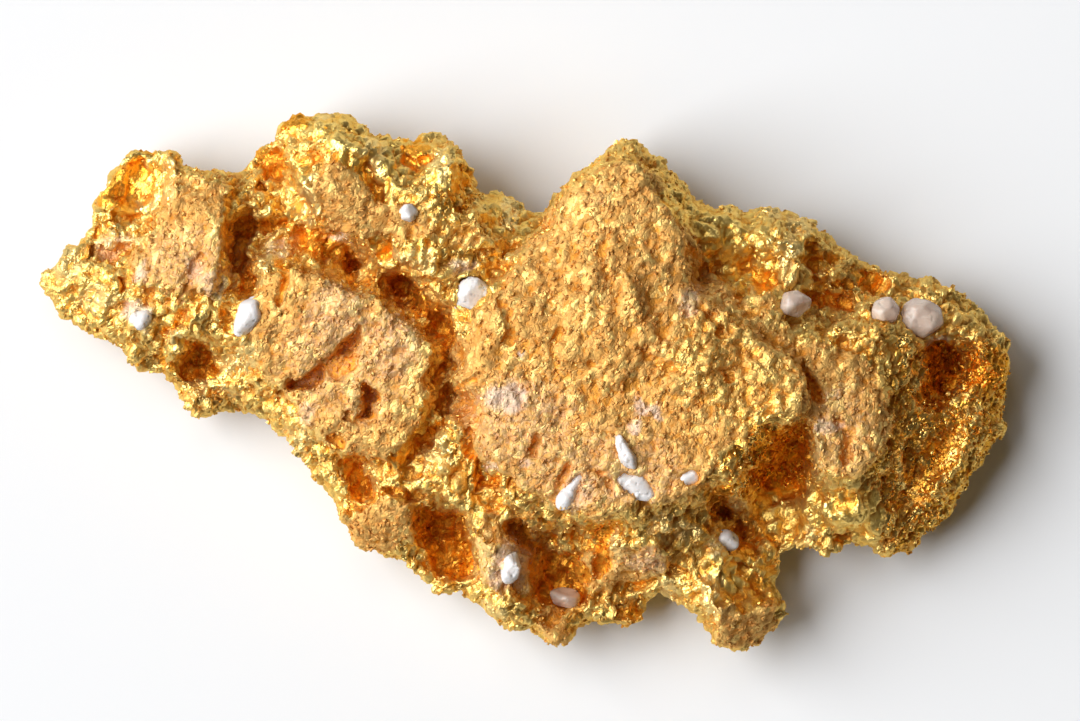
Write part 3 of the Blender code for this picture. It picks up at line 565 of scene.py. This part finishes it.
def ovalShare(spots, ovals):
    # an oval is full out to 0.6 of its half width and gone at 1.6; its strength is 1 where it has none
    share = np.zeros(len(spots))
    for x, y, wide, high, *strength in ovals:
        away = np.hypot((spots[:, 0] - x) / wide, (spots[:, 1] - y) / high)
        share = np.maximum(share, (strength[0] if strength else 1) * ease(1.6 - away))
    return share


def kindShares(places, normals):
    # how much of each kind of surface a point has: matt, fold, glitter, and nuggety for the rest
    spots = frayedPixels(places)
    upper = facingUp(normals, 0, 0.3)
    glitter = regionShare(spots, glitterRegions, regionSoftness["glitter"]) * upper
    golden = regionShare(spots, goldenRegions, regionSoftness["golden"])
    matt = (regionShare(spots, mattRegions, regionSoftness["matt"]) * upper
            * (1 - 0.6 * glitter) * (1 - 0.5 * golden))
    fold = regionShare(spots, foldRegions, regionSoftness["fold"]) * upper * (1 - matt)
    glitter = glitter * (1 - matt) * (1 - fold)
    return {"matt": matt, "fold": fold, "glitter": glitter, "nuggety": 1 - matt - fold - glitter}


def levelLedges(places, normals):
    # brings the top of each ledge closer to a plane, with a sharp edge and a groove round it
    spots = frayedPixels(places)
    upper = facingUp(normals, -0.1, 0.4)
    plan = np.column_stack([places[:, :2] / mm, np.ones(len(places))])
    most = goldForm["mostLevelled"]
    grooveDepth, grooveMiddle, grooveReach = goldForm["groove"]
    unevenness = 0.5 + 0.5 * softNoise(places, goldForm["grooveRun"], salts["groove"])
    onLedge = np.zeros(len(places))
    groove = np.zeros(len(places))
    for corners in mattRegions.values():
        depth = depthIn(spots, corners)
        share = ease(0.5 + depth / (2 * goldForm["ledgeEdge"])) * upper
        on = share > 0.5
        slope = np.linalg.lstsq(plan[on], places[on, 2], rcond=None)[0]
        change = np.clip(plan @ slope - places[:, 2], -most, most)
        places[:, 2] += share * (goldForm["levelling"] * change + goldForm["ledgeLift"])
        onLedge = np.maximum(onLedge, share)
        groove = np.maximum(groove, ease(1 - np.abs(depth + grooveMiddle) / grooveReach))
    places[:, 2] -= grooveDepth * unevenness * groove * (1 - onLedge) * upper


def cavityDepth(spots):
    # how many mm the cavities and cracks go down at each spot
    depths = np.zeros(len(spots))
    for depth, edge, corners in cavities.values():
        depths = np.maximum(depths, depth * patch(spots, corners, edge))
    for width, depth, line in carvedLines:
        depths = np.maximum(depths, depth * stroke(spots, line, width, 2))
    return depths


def landMap():
    # heights of the nugget, blurred, with its underside, and how far in from its outline a place is
    tree = treeOf(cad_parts["gold"].data)
    step = goldForm["mapStep"]
    xs = np.arange(cadBox[0][0], cadBox[1][0] + step, step)
    ys = np.arange(cadBox[0][1], cadBox[1][1] + step, step)
    land = np.zeros((len(xs), len(ys)))
    under = land.copy()
    known = land.copy()
    up, farOff = Vector((0, 0, 1)), 0.1
    for i, x in enumerate(xs):
        for j, y in enumerate(ys):
            hit = tree.ray_cast(Vector((x, y, farOff)), -up)[0]
            if hit:
                land[i, j], known[i, j] = hit.z, 1
                under[i, j] = tree.ray_cast(Vector((x, y, -farOff)), up)[0].z

    def blurred(grid, reach):
        kernel = np.exp(-np.linspace(-2, 2, 2 * reach + 1) ** 2)
        for axis in (0, 1):
            grid = np.apply_along_axis(np.convolve, axis, grid, kernel / kernel.sum(), "same")
        return grid

    share = blurred(known, goldForm["mapBlur"])
    return {"corner": (xs[0], ys[0]), "step": step, "inside": share, "under": under,
            "level": blurred(land, goldForm["mapBlur"]) / np.maximum(share, 1e-6)}


def readLand(land, name, places):
    # the map's value under each point, blended between its four nearest cells
    at = [(places[:, k] - land["corner"][k]) / land["step"] for k in (0, 1)]
    home = [np.clip(np.floor(a).astype(int), 0, n - 2) for a, n in zip(at, land[name].shape)]
    u, v = (np.clip(a - h, 0, 1) for a, h in zip(at, home))
    grid, (i, j) = land[name], home
    return ((grid[i, j] * (1 - u) + grid[i + 1, j] * u) * (1 - v)
            + (grid[i, j + 1] * (1 - u) + grid[i + 1, j + 1] * u) * v)


def skinned(thing, spacing, softening):
    wrap = thing.modifiers.new("even skin", "REMESH")
    wrap.mode = "VOXEL"
    wrap.voxel_size = spacing
    soften = thing.modifiers.new("soften the facets", "SMOOTH")
    soften.factor = 0.5
    soften.iterations = softening
    applied(thing)


def makeGoldBase(land):
    gold = addObject("nugget_gold", weldedCopy("goldSkin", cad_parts["gold"].data))
    skinned(gold, goldForm["coarseSkin"], goldForm["softening"])

    places, normals = readMesh(gold.data)
    levelLedges(places, normals)
    upper = facingUp(normals, -0.1, 0.4)
    spots = cutPixels(places)
    for width, height, line in raisedLines:
        places[:, 2] += upper * height * mm * stroke(spots, line, width)
    carved = places[:, 2] - upper * mm * cavityDepth(spots)
    least = np.minimum(places[:, 2], readLand(land, "under", places) + goldForm["leastThickness"])
    places[:, 2] = np.maximum(carved, least)
    moveMesh(gold.data, places)
    skinned(gold, goldForm["fineSkin"], 1)
    print("fine skin of", len(gold.data.vertices), "points")
    return gold


def alongRun(places):
    # the same points squeezed along the way that the lumps lie
    turn, stretch = goldForm["lumpRun"]
    along = np.array([np.cos(np.radians(turn)), np.sin(np.radians(turn)), 0])
    return places - (1 - 1 / stretch) * (places @ along)[:, None] * along


def bareGrains(places):
    # keeps the gold off the tops of the quartz grains
    down, above = Vector((0, 0, -1)), 1 * mm
    for name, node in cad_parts.items():
        if not name.startswith("quartz_"):
            continue
        corners = readMesh(node.data)[0]
        low, high = corners.min(axis=0), corners.max(axis=0)
        tree = treeOf(node.data)
        bareFrom = high[2] - quartzFinish["bared"]
        near = np.all((places > low) & (places < high + (0, 0, above)), axis=1)
        for k in np.flatnonzero(near):
            hit = tree.ray_cast(Vector((places[k, 0], places[k, 1], 1)), down)[0]
            if hit:
                places[k, 2] = min(places[k, 2], max(hit.z - quartzFinish["sunkGold"], bareFrom))


def crumbleGold(gold):
    places, normals = readMesh(gold.data)
    kinds = kindShares(places, normals)
    wavelength, reach = goldForm["twist"]
    moved = places + reach * vectorNoise(places, wavelength, salts["twist"])
    fine = goldForm["underside"] + (1 - goldForm["underside"]) * facingUp(normals, -0.5, 0)
    steep = ease(1.6 - np.abs(normals[:, 2]) / 0.35)  # 1 on walls, 0 on level places
    rim = 1 - (1 - goldForm["rim"]) * steep
    wavelength, reach = goldForm["runBend"]
    run = alongRun(places + reach * vectorNoise(places, wavelength, salts["run"]))
    wavelength, reach = goldForm["lumpBend"]
    for k, lump in enumerate(lumpKinds.values()):
        size = lump["size"]
        height = sum(share * goldForm[kind][k] for kind, share in kinds.items())
        bend = reach * size * vectorNoise(places, wavelength * size, lump["salt"] + 30)
        rise = lumpNoise(run + bend, **lump) - goldForm["lumpLevel"]
        moved += (height * rim * (fine if k else 1) * rise)[:, None] * normals

    bareGrains(moved)
    moveMesh(gold.data, keptInBox(moved))
    thin = gold.modifiers.new("thin the flat parts", "DECIMATE")
    thin.ratio = goldForm["triangles"] / trianglesIn(gold.data)
    applied(gold)
    moveMesh(gold.data, keptInBox(readMesh(gold.data)[0]))
    gold.data.shade_smooth()
    print("gold of", trianglesIn(gold.data), "triangles")


def hollowness(mesh, places, normals, rounds):
    # how far each point lies under the softened surface, in metres
    edges = np.empty(len(mesh.edges) * 2, np.int32)
    mesh.edges.foreach_get("vertices", edges)
    a, b = edges.reshape(-1, 2).T
    soft, count = places, len(places)
    neighbours = np.bincount(a, minlength=count) + np.bincount(b, minlength=count)
    for _ in range(rounds):
        sums = [np.bincount(a, soft[b, k], count) + np.bincount(b, soft[a, k], count) for k in range(3)]
        soft = np.stack(sums, axis=1) / neighbours[:, None]
    return ((soft - places) * normals).sum(axis=1)


# What paintGold marks on the points of the gold, for its material to read.
goldMarks = {
    "deepestCut": 0.8,  # mm; a cavity this deep gets the painted shade in full
    "low": (0.5, 0.5),  # mm under the land round it where a place starts to get painted shade, and its share per mm
    "hollowRounds": 10,  # how widely a point looks round itself
    "hollowDepth": 0.16 * mm,  # from a point that stands out in full to one that lies in a full hollow
    "tonePatch": 0.6 * mm,
}


def paintGold(gold, land):
    places, normals = readMesh(gold.data)
    upper = facingUp(normals, -0.3, 0.2)
    spots = frayedPixels(places)
    inside = ease((readLand(land, "inside", places) - 0.75) / 0.2)
    low = (readLand(land, "level", places) - places[:, 2]) / mm
    lowFrom, perMm = goldMarks["low"]
    lowShare = perMm * inside * (low - lowFrom)
    cutShare = np.clip(cavityDepth(cutPixels(places)) / goldMarks["deepestCut"], 0, 1)
    # brown painted shade on spots that turn away from the light
    brown = facingUp(normals, 0, 0.3) * ovalShare(spots, brownShadeSpots)
    hollow = hollowness(gold.data, places, normals, goldMarks["hollowRounds"])
    marks = {kind: share for kind, share in kindShares(places, normals).items() if kind != "nuggety"}
    marks["dust"] = upper * ovalShare(spots, dustSpots)
    # painted highlights on faces turned to the light
    marks["paintedHighlight"] = upper * ovalShare(spots, highlightSpots)
    # painted shade in cavities, in low places and on spots turned away from the light
    marks["paintedShade"] = np.maximum(brown, upper * np.maximum(lowShare, cutShare))
    # how far a point lies in a hollow; it sets painted shade in the crevices and painted highlights on the
    # tips
    marks["hollow"] = 0.5 + hollow / goldMarks["hollowDepth"]
    marks["tone"] = 0.5 + 0.5 * softNoise(places, goldMarks["tonePatch"], salts["tone"])
    for name, values in marks.items():
        paint(gold.data, name, values)
    print("gold painted")
    return marks


# Crumbs of gold that look loose but are grown fast to the surface.
crumbForm = {
    "ledge": {"count": 3500, "length": (0.22 * mm, 0.42 * mm), "width": 0.62, "thickness": 0.45,
              "lift": 0.05, "tilt": 0.25, "seed": 11},
    "glitter": {"count": 6000, "length": (0.13 * mm, 0.34 * mm), "width": 0.8, "thickness": 0.65,
                "lift": 0.08, "tilt": 0.4, "seed": 12},
    "shapes": 12,  # how many broken shapes there are to pick from
    "corners": 9,
    "fewLong": 1.6,  # over 1, more of the crumbs are short ones
    "turnRun": 2.2 * mm,  # the way they lie changes over about this length
    "turnSpread": 0.4,  # radians; how far one crumb strays from that way
    "hollow": 0.35,  # crumbs are painted as places that stand out a little, so they take some of the painted highlight of lump tips; a level place has 0.5
    "besides": 0.25,  # how thickly glitter crumbs grow outside their own regions, which have 1 more
    "lessOnFolds": 0.2,
}


def crumbShapes(rng):
    # a few broken shapes about one long, as corner places and triangles
    shapes = []
    corners = crumbForm["corners"]
    for _ in range(crumbForm["shapes"]):
        form = bmesh.new()
        spread = rng.normal(size=(corners, 3))
        spread /= np.linalg.norm(spread, axis=1)[:, None]
        for corner in spread * rng.uniform(0.38, 0.5, (corners, 1)):
            form.verts.new(corner)
        hull = bmesh.ops.convex_hull(form, input=form.verts)
        bmesh.ops.delete(form, geom=hull["geom_interior"], context="VERTS")
        bmesh.ops.recalc_face_normals(form, faces=form.faces)
        form.verts.index_update()
        shapes.append((np.array([v.co for v in form.verts]),
                       np.array([[v.index for v in face.verts] for face in form.faces])))
        form.free()
    return shapes


def surfaceSamples(mesh, weights, count, rng):
    # random places on the mesh's triangles, more of them where the weights are high
    places, normals = readMesh(mesh)
    mesh.calc_loop_triangles()
    corners = np.empty(len(mesh.loop_triangles) * 3, np.int32)
    mesh.loop_triangles.foreach_get("vertices", corners)
    corners = corners.reshape(-1, 3)
    a, b, c = (places[corners[:, k]] for k in range(3))
    share = np.linalg.norm(np.cross(b - a, c - a), axis=1) * weights[corners[:, 0]]
    chosen = rng.choice(len(corners), count, p=share / share.sum())
    u, v = rng.uniform(size=(2, count, 1))
    u, v = np.where(u + v > 1, 1 - u, u), np.where(u + v > 1, 1 - v, v)
    spots = a[chosen] + u * (b - a)[chosen] + v * (c - a)[chosen]
    return spots, normals[corners[chosen, 0]], corners[chosen, 0]


def crumbWeights(gold, marks):
    # how thickly each kind of crumb grows at each point
    upper = facingUp(readMesh(gold.data)[1], -0.6, 0)
    besides = crumbForm["besides"] + marks["glitter"] - crumbForm["lessOnFolds"] * marks["fold"]
    return {"ledge": marks["matt"], "glitter": besides * (1 - marks["matt"]) * upper}


def crumbAxes(spots, normals, tilt, rng):
    # the long way of each crumb, near the way that the lumps lie, the way across it, and its upright
    turn = (np.radians(goldForm["lumpRun"][0])
            + softNoise(spots, crumbForm["turnRun"], salts["crumbTurn"])
            + rng.normal(0, crumbForm["turnSpread"], len(spots)))
    side = np.stack([np.cos(turn), np.sin(turn), np.zeros(len(spots))], axis=1)
    upright = normals + rng.normal(0, tilt, (len(spots), 3))
    upright /= np.linalg.norm(upright, axis=1)[:, None]
    side -= (side * upright).sum(axis=1)[:, None] * upright
    side /= np.linalg.norm(side, axis=1)[:, None]
    return side, np.cross(upright, side), upright


def triangleMesh(name, places, faces):
    mesh = bpy.data.meshes.new(name)
    mesh.vertices.add(len(places))
    mesh.loops.add(faces.size)
    mesh.polygons.add(len(faces))
    mesh.vertices.foreach_set("co", places.astype(np.float32).ravel())
    mesh.loops.foreach_set("vertex_index", faces.astype(np.int32).ravel())
    mesh.polygons.foreach_set("loop_start", np.arange(0, faces.size, 3, dtype=np.int32))
    mesh.update(calc_edges=True)
    mesh.shade_flat()
    return mesh


def growCrumbs(gold, marks, kind, weights):
    look = crumbForm[kind]
    rng = np.random.default_rng(look["seed"])
    spots, normals, near = surfaceSamples(gold.data, weights, look["count"], rng)
    side, across, upright = crumbAxes(spots, normals, look["tilt"], rng)
    short, long = look["length"]
    length = short + (long - short) * rng.uniform(size=len(spots)) ** crumbForm["fewLong"]
    shapes = crumbShapes(rng)
    picked = rng.integers(len(shapes), size=len(spots))

    cornerParts, faceParts, ownerParts, used = [], [], [], 0
    for k, (corners, faces) in enumerate(shapes):
        mine = np.flatnonzero(picked == k)
        sized = corners[None] * length[mine, None, None] * (1, look["width"], look["thickness"])
        centre = spots[mine] + look["lift"] * length[mine, None] * upright[mine]
        placed = (centre[:, None] + sized[..., :1] * side[mine, None]
                  + sized[..., 1:2] * across[mine, None] + sized[..., 2:] * upright[mine, None])
        firstCorners = used + len(corners) * np.arange(len(mine))
        cornerParts.append(placed.reshape(-1, 3))
        faceParts.append((faces[None] + firstCorners[:, None, None]).reshape(-1, 3))
        ownerParts.append(np.repeat(mine, len(corners)))
        used += len(corners) * len(mine)
    places = keptInBox(np.concatenate(cornerParts))
    mesh = triangleMesh(kind + "Crumbs", places, np.concatenate(faceParts))
    owner = np.concatenate(ownerParts)
    for name, values in marks.items():
        # a crumb takes the marks of the gold under it, but has a tone of its own
        own = {"tone": rng.uniform(size=len(spots)), "hollow": np.full(len(spots), crumbForm["hollow"])}
        paint(mesh, name, own.get(name, values[near])[owner])
    crumbs = addObject(kind + "_crumbs", mesh)
    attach(crumbs, "root")
    print(kind, "crumbs:", len(spots), "of them,", trianglesIn(mesh), "triangles")
    return crumbs


goldFinish = {
    # colour, roughness and metallic share of each kind of surface
    "nuggety": ((1.0, 0.67, 0.18), 0.43, 0.85),
    "matt": ((0.77, 0.43, 0.13), 0.60, 0.55),
    "fold": ((1.0, 0.69, 0.18), 0.40, 0.9),
    "glitter": ((1.0, 0.54, 0.08), 0.36, 0.95),
    "dust": ((0.78, 0.68, 0.66), 0.6, 0.1),
    "dustShare": 0.6,
    "edgeTint": (1.0, 0.60, 0.20),  # what gold reflects at a glancing angle
    "fraying": (0.16 * mm, 0.8),  # size and strength of the noise in the edges of all these
    "flake": (0.27 * mm, 1.5),  # size, and how much longer the way the lumps lie
    "flakeTint": (0.30, 0.60),  # below this random number, and over that one, a flake is dull or bright
    "flakeOwn": 0.6,  # share of that number that is the flake's own; the rest is its patch's tone
    "flakeShare": 0.7,
    "flakeRoughness": 0.12,  # by how much a dull flake is rougher and a bright one smoother
    "brightFlake": (1.0, 0.72, 0.24),
    "dullFlake": (0.72, 0.37, 0.09),
    "crease": (0.45, 0.19, 0.03),  # painted shade in the creases between flakes
    "creaseShadeShare": 0.25,
    "creaseShadeRun": 0.5 * mm,  # the painted shade in the creases comes and goes over about this length
    "creviceShade": (0.70, 0.28, 0.02),  # painted shade, warm and dark, in the crevices between lumps
    "creviceShadeShare": 0.7,
    "tipHighlight": (1.0, 0.75, 0.25),  # painted highlight on the tips of lumps
    "tipHighlightShare": 0.6,
    "amber": (0.95, 0.40, 0.03),  # painted shade in the cavities, warm with light thrown between the gold faces
    "deep": (0.42, 0.13, 0.01),  # darker painted shade at their bottoms
    "deepShadeShare": 0.85,
    # painted highlight on faces turned to the light
    "paintedHighlight": (1.0, 0.78, 0.34),
    "paintedHighlightShare": 0.6,
    "grain": (0.11 * mm, 0.5, 0.03 * mm),  # size, strength and depth of the finest bumps
    "facets": (0.7, 0.4, 0.10 * mm),  # strength of the flakes' tilt on lumps and on folds, and its depth
}


class Shader:
    # a small helper that wires one material's nodes
    def __init__(self, name):
        self.material = bpy.data.materials.new(name)
        self.material.use_nodes = True
        self.tree = self.material.node_tree
        self.surface = self.tree.nodes["Principled BSDF"]

    def node(self, kind, **settings):
        made = self.tree.nodes.new(kind)
        for key, value in settings.items():
            setattr(made, key, value)
        return made

    def link(self, source, target):
        # a socket is wired to the target, a plain value is written in it
        if hasattr(source, "is_output"):
            self.tree.links.new(source, target)
        else:
            target.default_value = source

    def painted(self, name):
        return self.node("ShaderNodeAttribute", attribute_name=name).outputs["Fac"]

    def math(self, operation, a, b):
        made = self.node("ShaderNodeMath", operation=operation)
        self.link(a, made.inputs[0])
        self.link(b, made.inputs[1])
        return made.outputs[0]

    def vector(self, operation, a, b):
        made = self.node("ShaderNodeVectorMath", operation=operation)
        self.link(a, made.inputs[0])
        self.link(b, made.inputs["Scale" if operation == "SCALE" else 1])
        return made.outputs["Value" if operation == "DOT_PRODUCT" else "Vector"]

    def remap(self, value, low, high, outLow=0.0, outHigh=1.0):
        made = self.node("ShaderNodeMapRange", interpolation_type="SMOOTHSTEP")
        self.link(value, made.inputs["Value"])
        made.inputs["From Min"].default_value = low
        made.inputs["From Max"].default_value = high
        made.inputs["To Min"].default_value = outLow
        made.inputs["To Max"].default_value = outHigh
        return made.outputs["Result"]

    def mixColour(self, share, a, b):
        made = self.node("ShaderNodeMix", data_type="RGBA")
        self.link(share, made.inputs[0])
        for value, socket in ((a, made.inputs[6]), (b, made.inputs[7])):
            self.link((*value, 1) if isinstance(value, tuple) else value, socket)
        return made.outputs[2]

    def mixValue(self, share, a, b):
        made = self.node("ShaderNodeMix", data_type="FLOAT")
        self.link(share, made.inputs[0])
        self.link(a, made.inputs[2])
        self.link(b, made.inputs[3])
        return made.outputs[0]

    def place(self):
        # where on the object a point is, in metres
        return self.node("ShaderNodeTexCoord").outputs["Object"]

    def noise(self, size, detail, roughness=0.5):
        # noise whose features are about that size, in metres
        fit = self.node("ShaderNodeMapping")
        fit.inputs["Scale"].default_value = [1 / size] * 3
        self.link(self.place(), fit.inputs["Vector"])
        made = self.node("ShaderNodeTexNoise")
        self.link(fit.outputs[0], made.inputs["Vector"])
        made.inputs["Scale"].default_value = 1
        made.inputs["Detail"].default_value = detail
        made.inputs["Roughness"].default_value = roughness
        return made.outputs["Fac"]

    def cells(self, size):
        made = self.node("ShaderNodeTexVoronoi")
        self.link(self.place(), made.inputs["Vector"])
        made.inputs["Scale"].default_value = 1 / size
        return made.outputs["Distance"]

    def flakeSpace(self, size, turn, stretch):
        # places measured in flakes, longer one way, with their borders bent
        where = self.place()
        bend = self.node("ShaderNodeTexNoise")
        self.link(where, bend.inputs["Vector"])
        bend.inputs["Scale"].default_value = 1 / size
        bent = self.vector("ADD", where, self.vector("SCALE", bend.outputs["Color"], 1.1 * size))
        fit = self.node("ShaderNodeMapping", vector_type="TEXTURE")
        fit.inputs["Rotation"].default_value = (0, 0, np.radians(turn))
        fit.inputs["Scale"].default_value = (stretch * size, size, size)
        self.link(bent, fit.inputs["Vector"])
        return fit.outputs[0]

    def flakes(self, space):
        # a random colour for each flake, the height of its tilted face, and the distance to its border
        cell = self.node("ShaderNodeTexVoronoi")
        border = self.node("ShaderNodeTexVoronoi", feature="DISTANCE_TO_EDGE")
        for made in (cell, border):
            self.link(space, made.inputs["Vector"])
            made.inputs["Scale"].default_value = 1
        lean = self.vector("SUBTRACT", cell.outputs["Color"], (0.5, 0.5, 0.5))
        fromMiddle = self.vector("SUBTRACT", space, cell.outputs["Position"])
        return cell.outputs["Color"], self.vector("DOT_PRODUCT", fromMiddle, lean), border.outputs["Distance"]

    def bump(self, height, strength, distance, under=None):
        made = self.node("ShaderNodeBump")
        self.link(height, made.inputs["Height"])
        self.link(strength, made.inputs["Strength"])
        made.inputs["Distance"].default_value = distance
        if under is not None:
            self.link(under, made.inputs["Normal"])
        return made.outputs["Normal"]


def kindLooks(s, ragged):
    # colour, roughness and metallic share, with each kind of surface laid over the one before
    colour, rough, metal = goldFinish["nuggety"]
    for kind in ("matt", "fold", "glitter"):
        share = s.remap(s.math("ADD", s.painted(kind), ragged), 0.3, 0.7)
        kindColour, kindRough, kindMetal = goldFinish[kind]
        colour = s.mixColour(share, colour, kindColour)
        rough = s.mixValue(share, rough, kindRough)
        metal = s.mixValue(share, metal, kindMetal)
    return colour, rough, metal


def flakeLooks(s, chance, border, colour, rough):
    # dull and bright flakes, and painted shade in the creases between them; there are fewer of both on folds
    split = s.node("ShaderNodeSeparateColor")
    s.link(chance, split.inputs[0])
    own = goldFinish["flakeOwn"]
    mixed = s.math("ADD", s.math("MULTIPLY", split.outputs[0], own),
                   s.math("MULTIPLY", s.painted("tone"), 1 - own))
    dullUnder, brightOver = goldFinish["flakeTint"]
    offFolds = s.math("SUBTRACT", 1, s.painted("fold"))
    dull = s.math("MULTIPLY", s.remap(mixed, dullUnder + 0.15, dullUnder), offFolds)
    bright = s.remap(mixed, brightOver, brightOver + 0.2)
    share = goldFinish["flakeShare"]
    colour = s.mixColour(s.math("MULTIPLY", dull, share), colour, goldFinish["dullFlake"])
    colour = s.mixColour(s.math("MULTIPLY", bright, share), colour, goldFinish["brightFlake"])
    change = s.math("MULTIPLY", s.math("SUBTRACT", dull, bright), goldFinish["flakeRoughness"])
    rough = s.math("ADD", rough, change)
    run = s.remap(s.noise(goldFinish["creaseShadeRun"], 2), 0.38, 0.62, 0.15, goldFinish["creaseShadeShare"])
    # painted shade along the flakes' borders
    crease = s.math("MULTIPLY", s.remap(border, 0.12, 0.0), s.math("MULTIPLY", offFolds, run))
    return s.mixColour(crease, colour, goldFinish["crease"]), rough


def lumpLooks(s, ragged, colour):
    # painted shade, warm and dark, in the crevices between the lumps, and painted highlights on their tips,
    # fewer on the matt ledges
    hollow = s.math("ADD", s.painted("hollow"), s.math("MULTIPLY", ragged, 0.3))
    creviceShade = s.remap(hollow, 0.55, 1.0, 0.0, goldFinish["creviceShadeShare"])
    colour = s.mixColour(creviceShade, colour, goldFinish["creviceShade"])
    tipHighlight = s.math("MULTIPLY", s.remap(hollow, 0.40, 0.05, 0.0, goldFinish["tipHighlightShare"]),
                   s.remap(s.painted("matt"), 0, 1, 1.0, 0.35))
    return s.mixColour(tipHighlight, colour, goldFinish["tipHighlight"])


def spotLooks(s, ragged, colour):
    # painted highlights on faces turned to the light, and painted shade in the cavities that goes from amber
    # to deep brown
    paintedHighlight = s.remap(s.math("ADD", s.painted("paintedHighlight"), ragged), 0.2, 0.8, 0.0, goldFinish["paintedHighlightShare"])
    colour = s.mixColour(paintedHighlight, colour, goldFinish["paintedHighlight"])
    # the painted shade mask of cavities, low places and shaded spots
    low = s.math("ADD", s.painted("paintedShade"), ragged)
    most = goldFinish["deepShadeShare"]
    colour = s.mixColour(s.remap(low, 0.15, 0.6, 0.0, most), colour, goldFinish["amber"])
    return s.mixColour(s.remap(low, 0.55, 1.1, 0.0, most), colour, goldFinish["deep"])


def goldMaterial():
    s = Shader("native gold")
    size, strength = goldFinish["fraying"]
    ragged = s.math("MULTIPLY", s.math("SUBTRACT", s.noise(size, 3, 0.6), 0.5), strength)
    size, stretch = goldFinish["flake"]
    chance, tilted, border = s.flakes(s.flakeSpace(size, goldForm["lumpRun"][0], stretch))

    colour, rough, metal = kindLooks(s, ragged)
    colour, rough = flakeLooks(s, chance, border, colour, rough)
    colour = spotLooks(s, ragged, lumpLooks(s, ragged, colour))
    dustColour, dustRough, dustMetal = goldFinish["dust"]
    dusty = s.remap(s.math("ADD", s.painted("dust"), ragged), 0.1, 0.9, 0.0, goldFinish["dustShare"])
    s.link(s.mixColour(dusty, colour, dustColour), s.surface.inputs["Base Color"])
    s.link(s.mixValue(dusty, rough, dustRough), s.surface.inputs["Roughness"])
    s.link(s.mixValue(dusty, metal, dustMetal), s.surface.inputs["Metallic"])
    s.surface.inputs["Specular Tint"].default_value = (*goldFinish["edgeTint"], 1)

    size, strength, depth = goldFinish["grain"]
    grain = s.bump(s.cells(size), strength, depth)
    onLumps, onFolds, depth = goldFinish["facets"]
    height = s.math("ADD", tilted, s.remap(border, 0.0, 0.2, 0.0, 0.2))
    facets = s.bump(height, s.remap(s.painted("fold"), 0, 1, onLumps, onFolds), depth, grain)
    s.link(facets, s.surface.inputs["Normal"])
    return s.material


quartzFinish = {
    "milky": {"colour": (0.93, 0.91, 0.91), "roughness": 0.4, "transmission": 0.1, "flaws": 0.08 * mm},
    "clear": {"colour": (1.0, 0.81, 0.69), "roughness": 0.25, "transmission": 0.4, "flaws": 0.03 * mm},
    "ior": 1.544,
    "cloud": (0.45 * mm, 0.86),  # size of the dim patches, and their brightness
    "glow": 0.5,  # share of the light that spreads under the skin
    "glowReach": (0.3, 0.27, 0.25),  # millimetres, for red, green and blue
    "grain": (0.15 * mm, 0.5, 0.03 * mm),  # size, strength and depth of the finest bumps
    "skin": 0.05 * mm,  # spacing of the mesh
    "growth": 0.08 * mm,  # fills most of the pocket round the grain
    "chips": {"size": 0.5 * mm, "crease": 0.02, "tilt": 0.7, "stagger": 0.3},
    "chipLevel": 0.9,  # the height within a chip that stays where the skin was
    "swell": 0.8 * mm,  # wavelength of the grain's uneven swelling
    "bared": 0.16 * mm,  # down to this far under a grain's top, no gold covers it
    "sunkGold": 0.1 * mm,  # how far under the grain's face that gold lies
}
clearGrains = ("quartz_pebble_large", "quartz_pebble_small", "quartz_pebble_upper", "quartz_basin")


def quartzMaterial(name, look):
    s = Shader(name)
    size, brightness = quartzFinish["cloud"]
    dim = tuple(c * brightness for c in look["colour"])
    cloud = s.remap(s.noise(size, 3), 0.35, 0.65)
    s.link(s.mixColour(cloud, look["colour"], dim), s.surface.inputs["Base Color"])
    s.surface.inputs["Roughness"].default_value = look["roughness"]
    s.surface.inputs["Transmission Weight"].default_value = look["transmission"]
    s.surface.inputs["IOR"].default_value = quartzFinish["ior"]
    s.surface.inputs["Subsurface Weight"].default_value = quartzFinish["glow"]
    s.surface.inputs["Subsurface Radius"].default_value = quartzFinish["glowReach"]
    s.surface.inputs["Subsurface Scale"].default_value = 1 * mm
    size, strength, depth = quartzFinish["grain"]
    s.link(s.bump(s.noise(size, 3), strength, depth), s.surface.inputs["Normal"])
    return s.material


def brokenGrain(name, cadMesh, flaws):
    # the grain with rounded edges and chipped, uneven faces
    grain = addObject("broken_" + name, weldedCopy(name, cadMesh))
    skinned(grain, quartzFinish["skin"], 2)
    places, normals = readMesh(grain.data)
    chips = lumpNoise(places, **quartzFinish["chips"], salt=salts["chips"]) - quartzFinish["chipLevel"]
    swell = softNoise(places, quartzFinish["swell"], salts["swell"])
    grown = quartzFinish["growth"] + flaws * chips + flaws * swell
    moveMesh(grain.data, keptInBox(places + grown[:, None] * normals))
    grain.data.shade_smooth()
    return grain


def makeQuartz():
    finishes = {kind: quartzMaterial(kind + " quartz", quartzFinish[kind]) for kind in ("milky", "clear")}
    for name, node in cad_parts.items():
        if not name.startswith("quartz_"):
            continue
        kind = "clear" if name in clearGrains else "milky"
        grain = brokenGrain(name, node.data, quartzFinish[kind]["flaws"])
        grain.data.materials.clear()
        grain.data.materials.append(finishes[kind])
        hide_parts(name)
        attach(grain, "root")
    print("quartz set")


setStudio()
land = landMap()
gold = makeGoldBase(land)
crumbleGold(gold)
marks = paintGold(gold, land)
crumbs = [growCrumbs(gold, marks, kind, weights) for kind, weights in crumbWeights(gold, marks).items()]
nativeGold = goldMaterial()
for piece in (gold, *crumbs):
    piece.data.materials.clear()
    piece.data.materials.append(nativeGold)
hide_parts("gold")
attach(gold, "root")
makeQuartz()
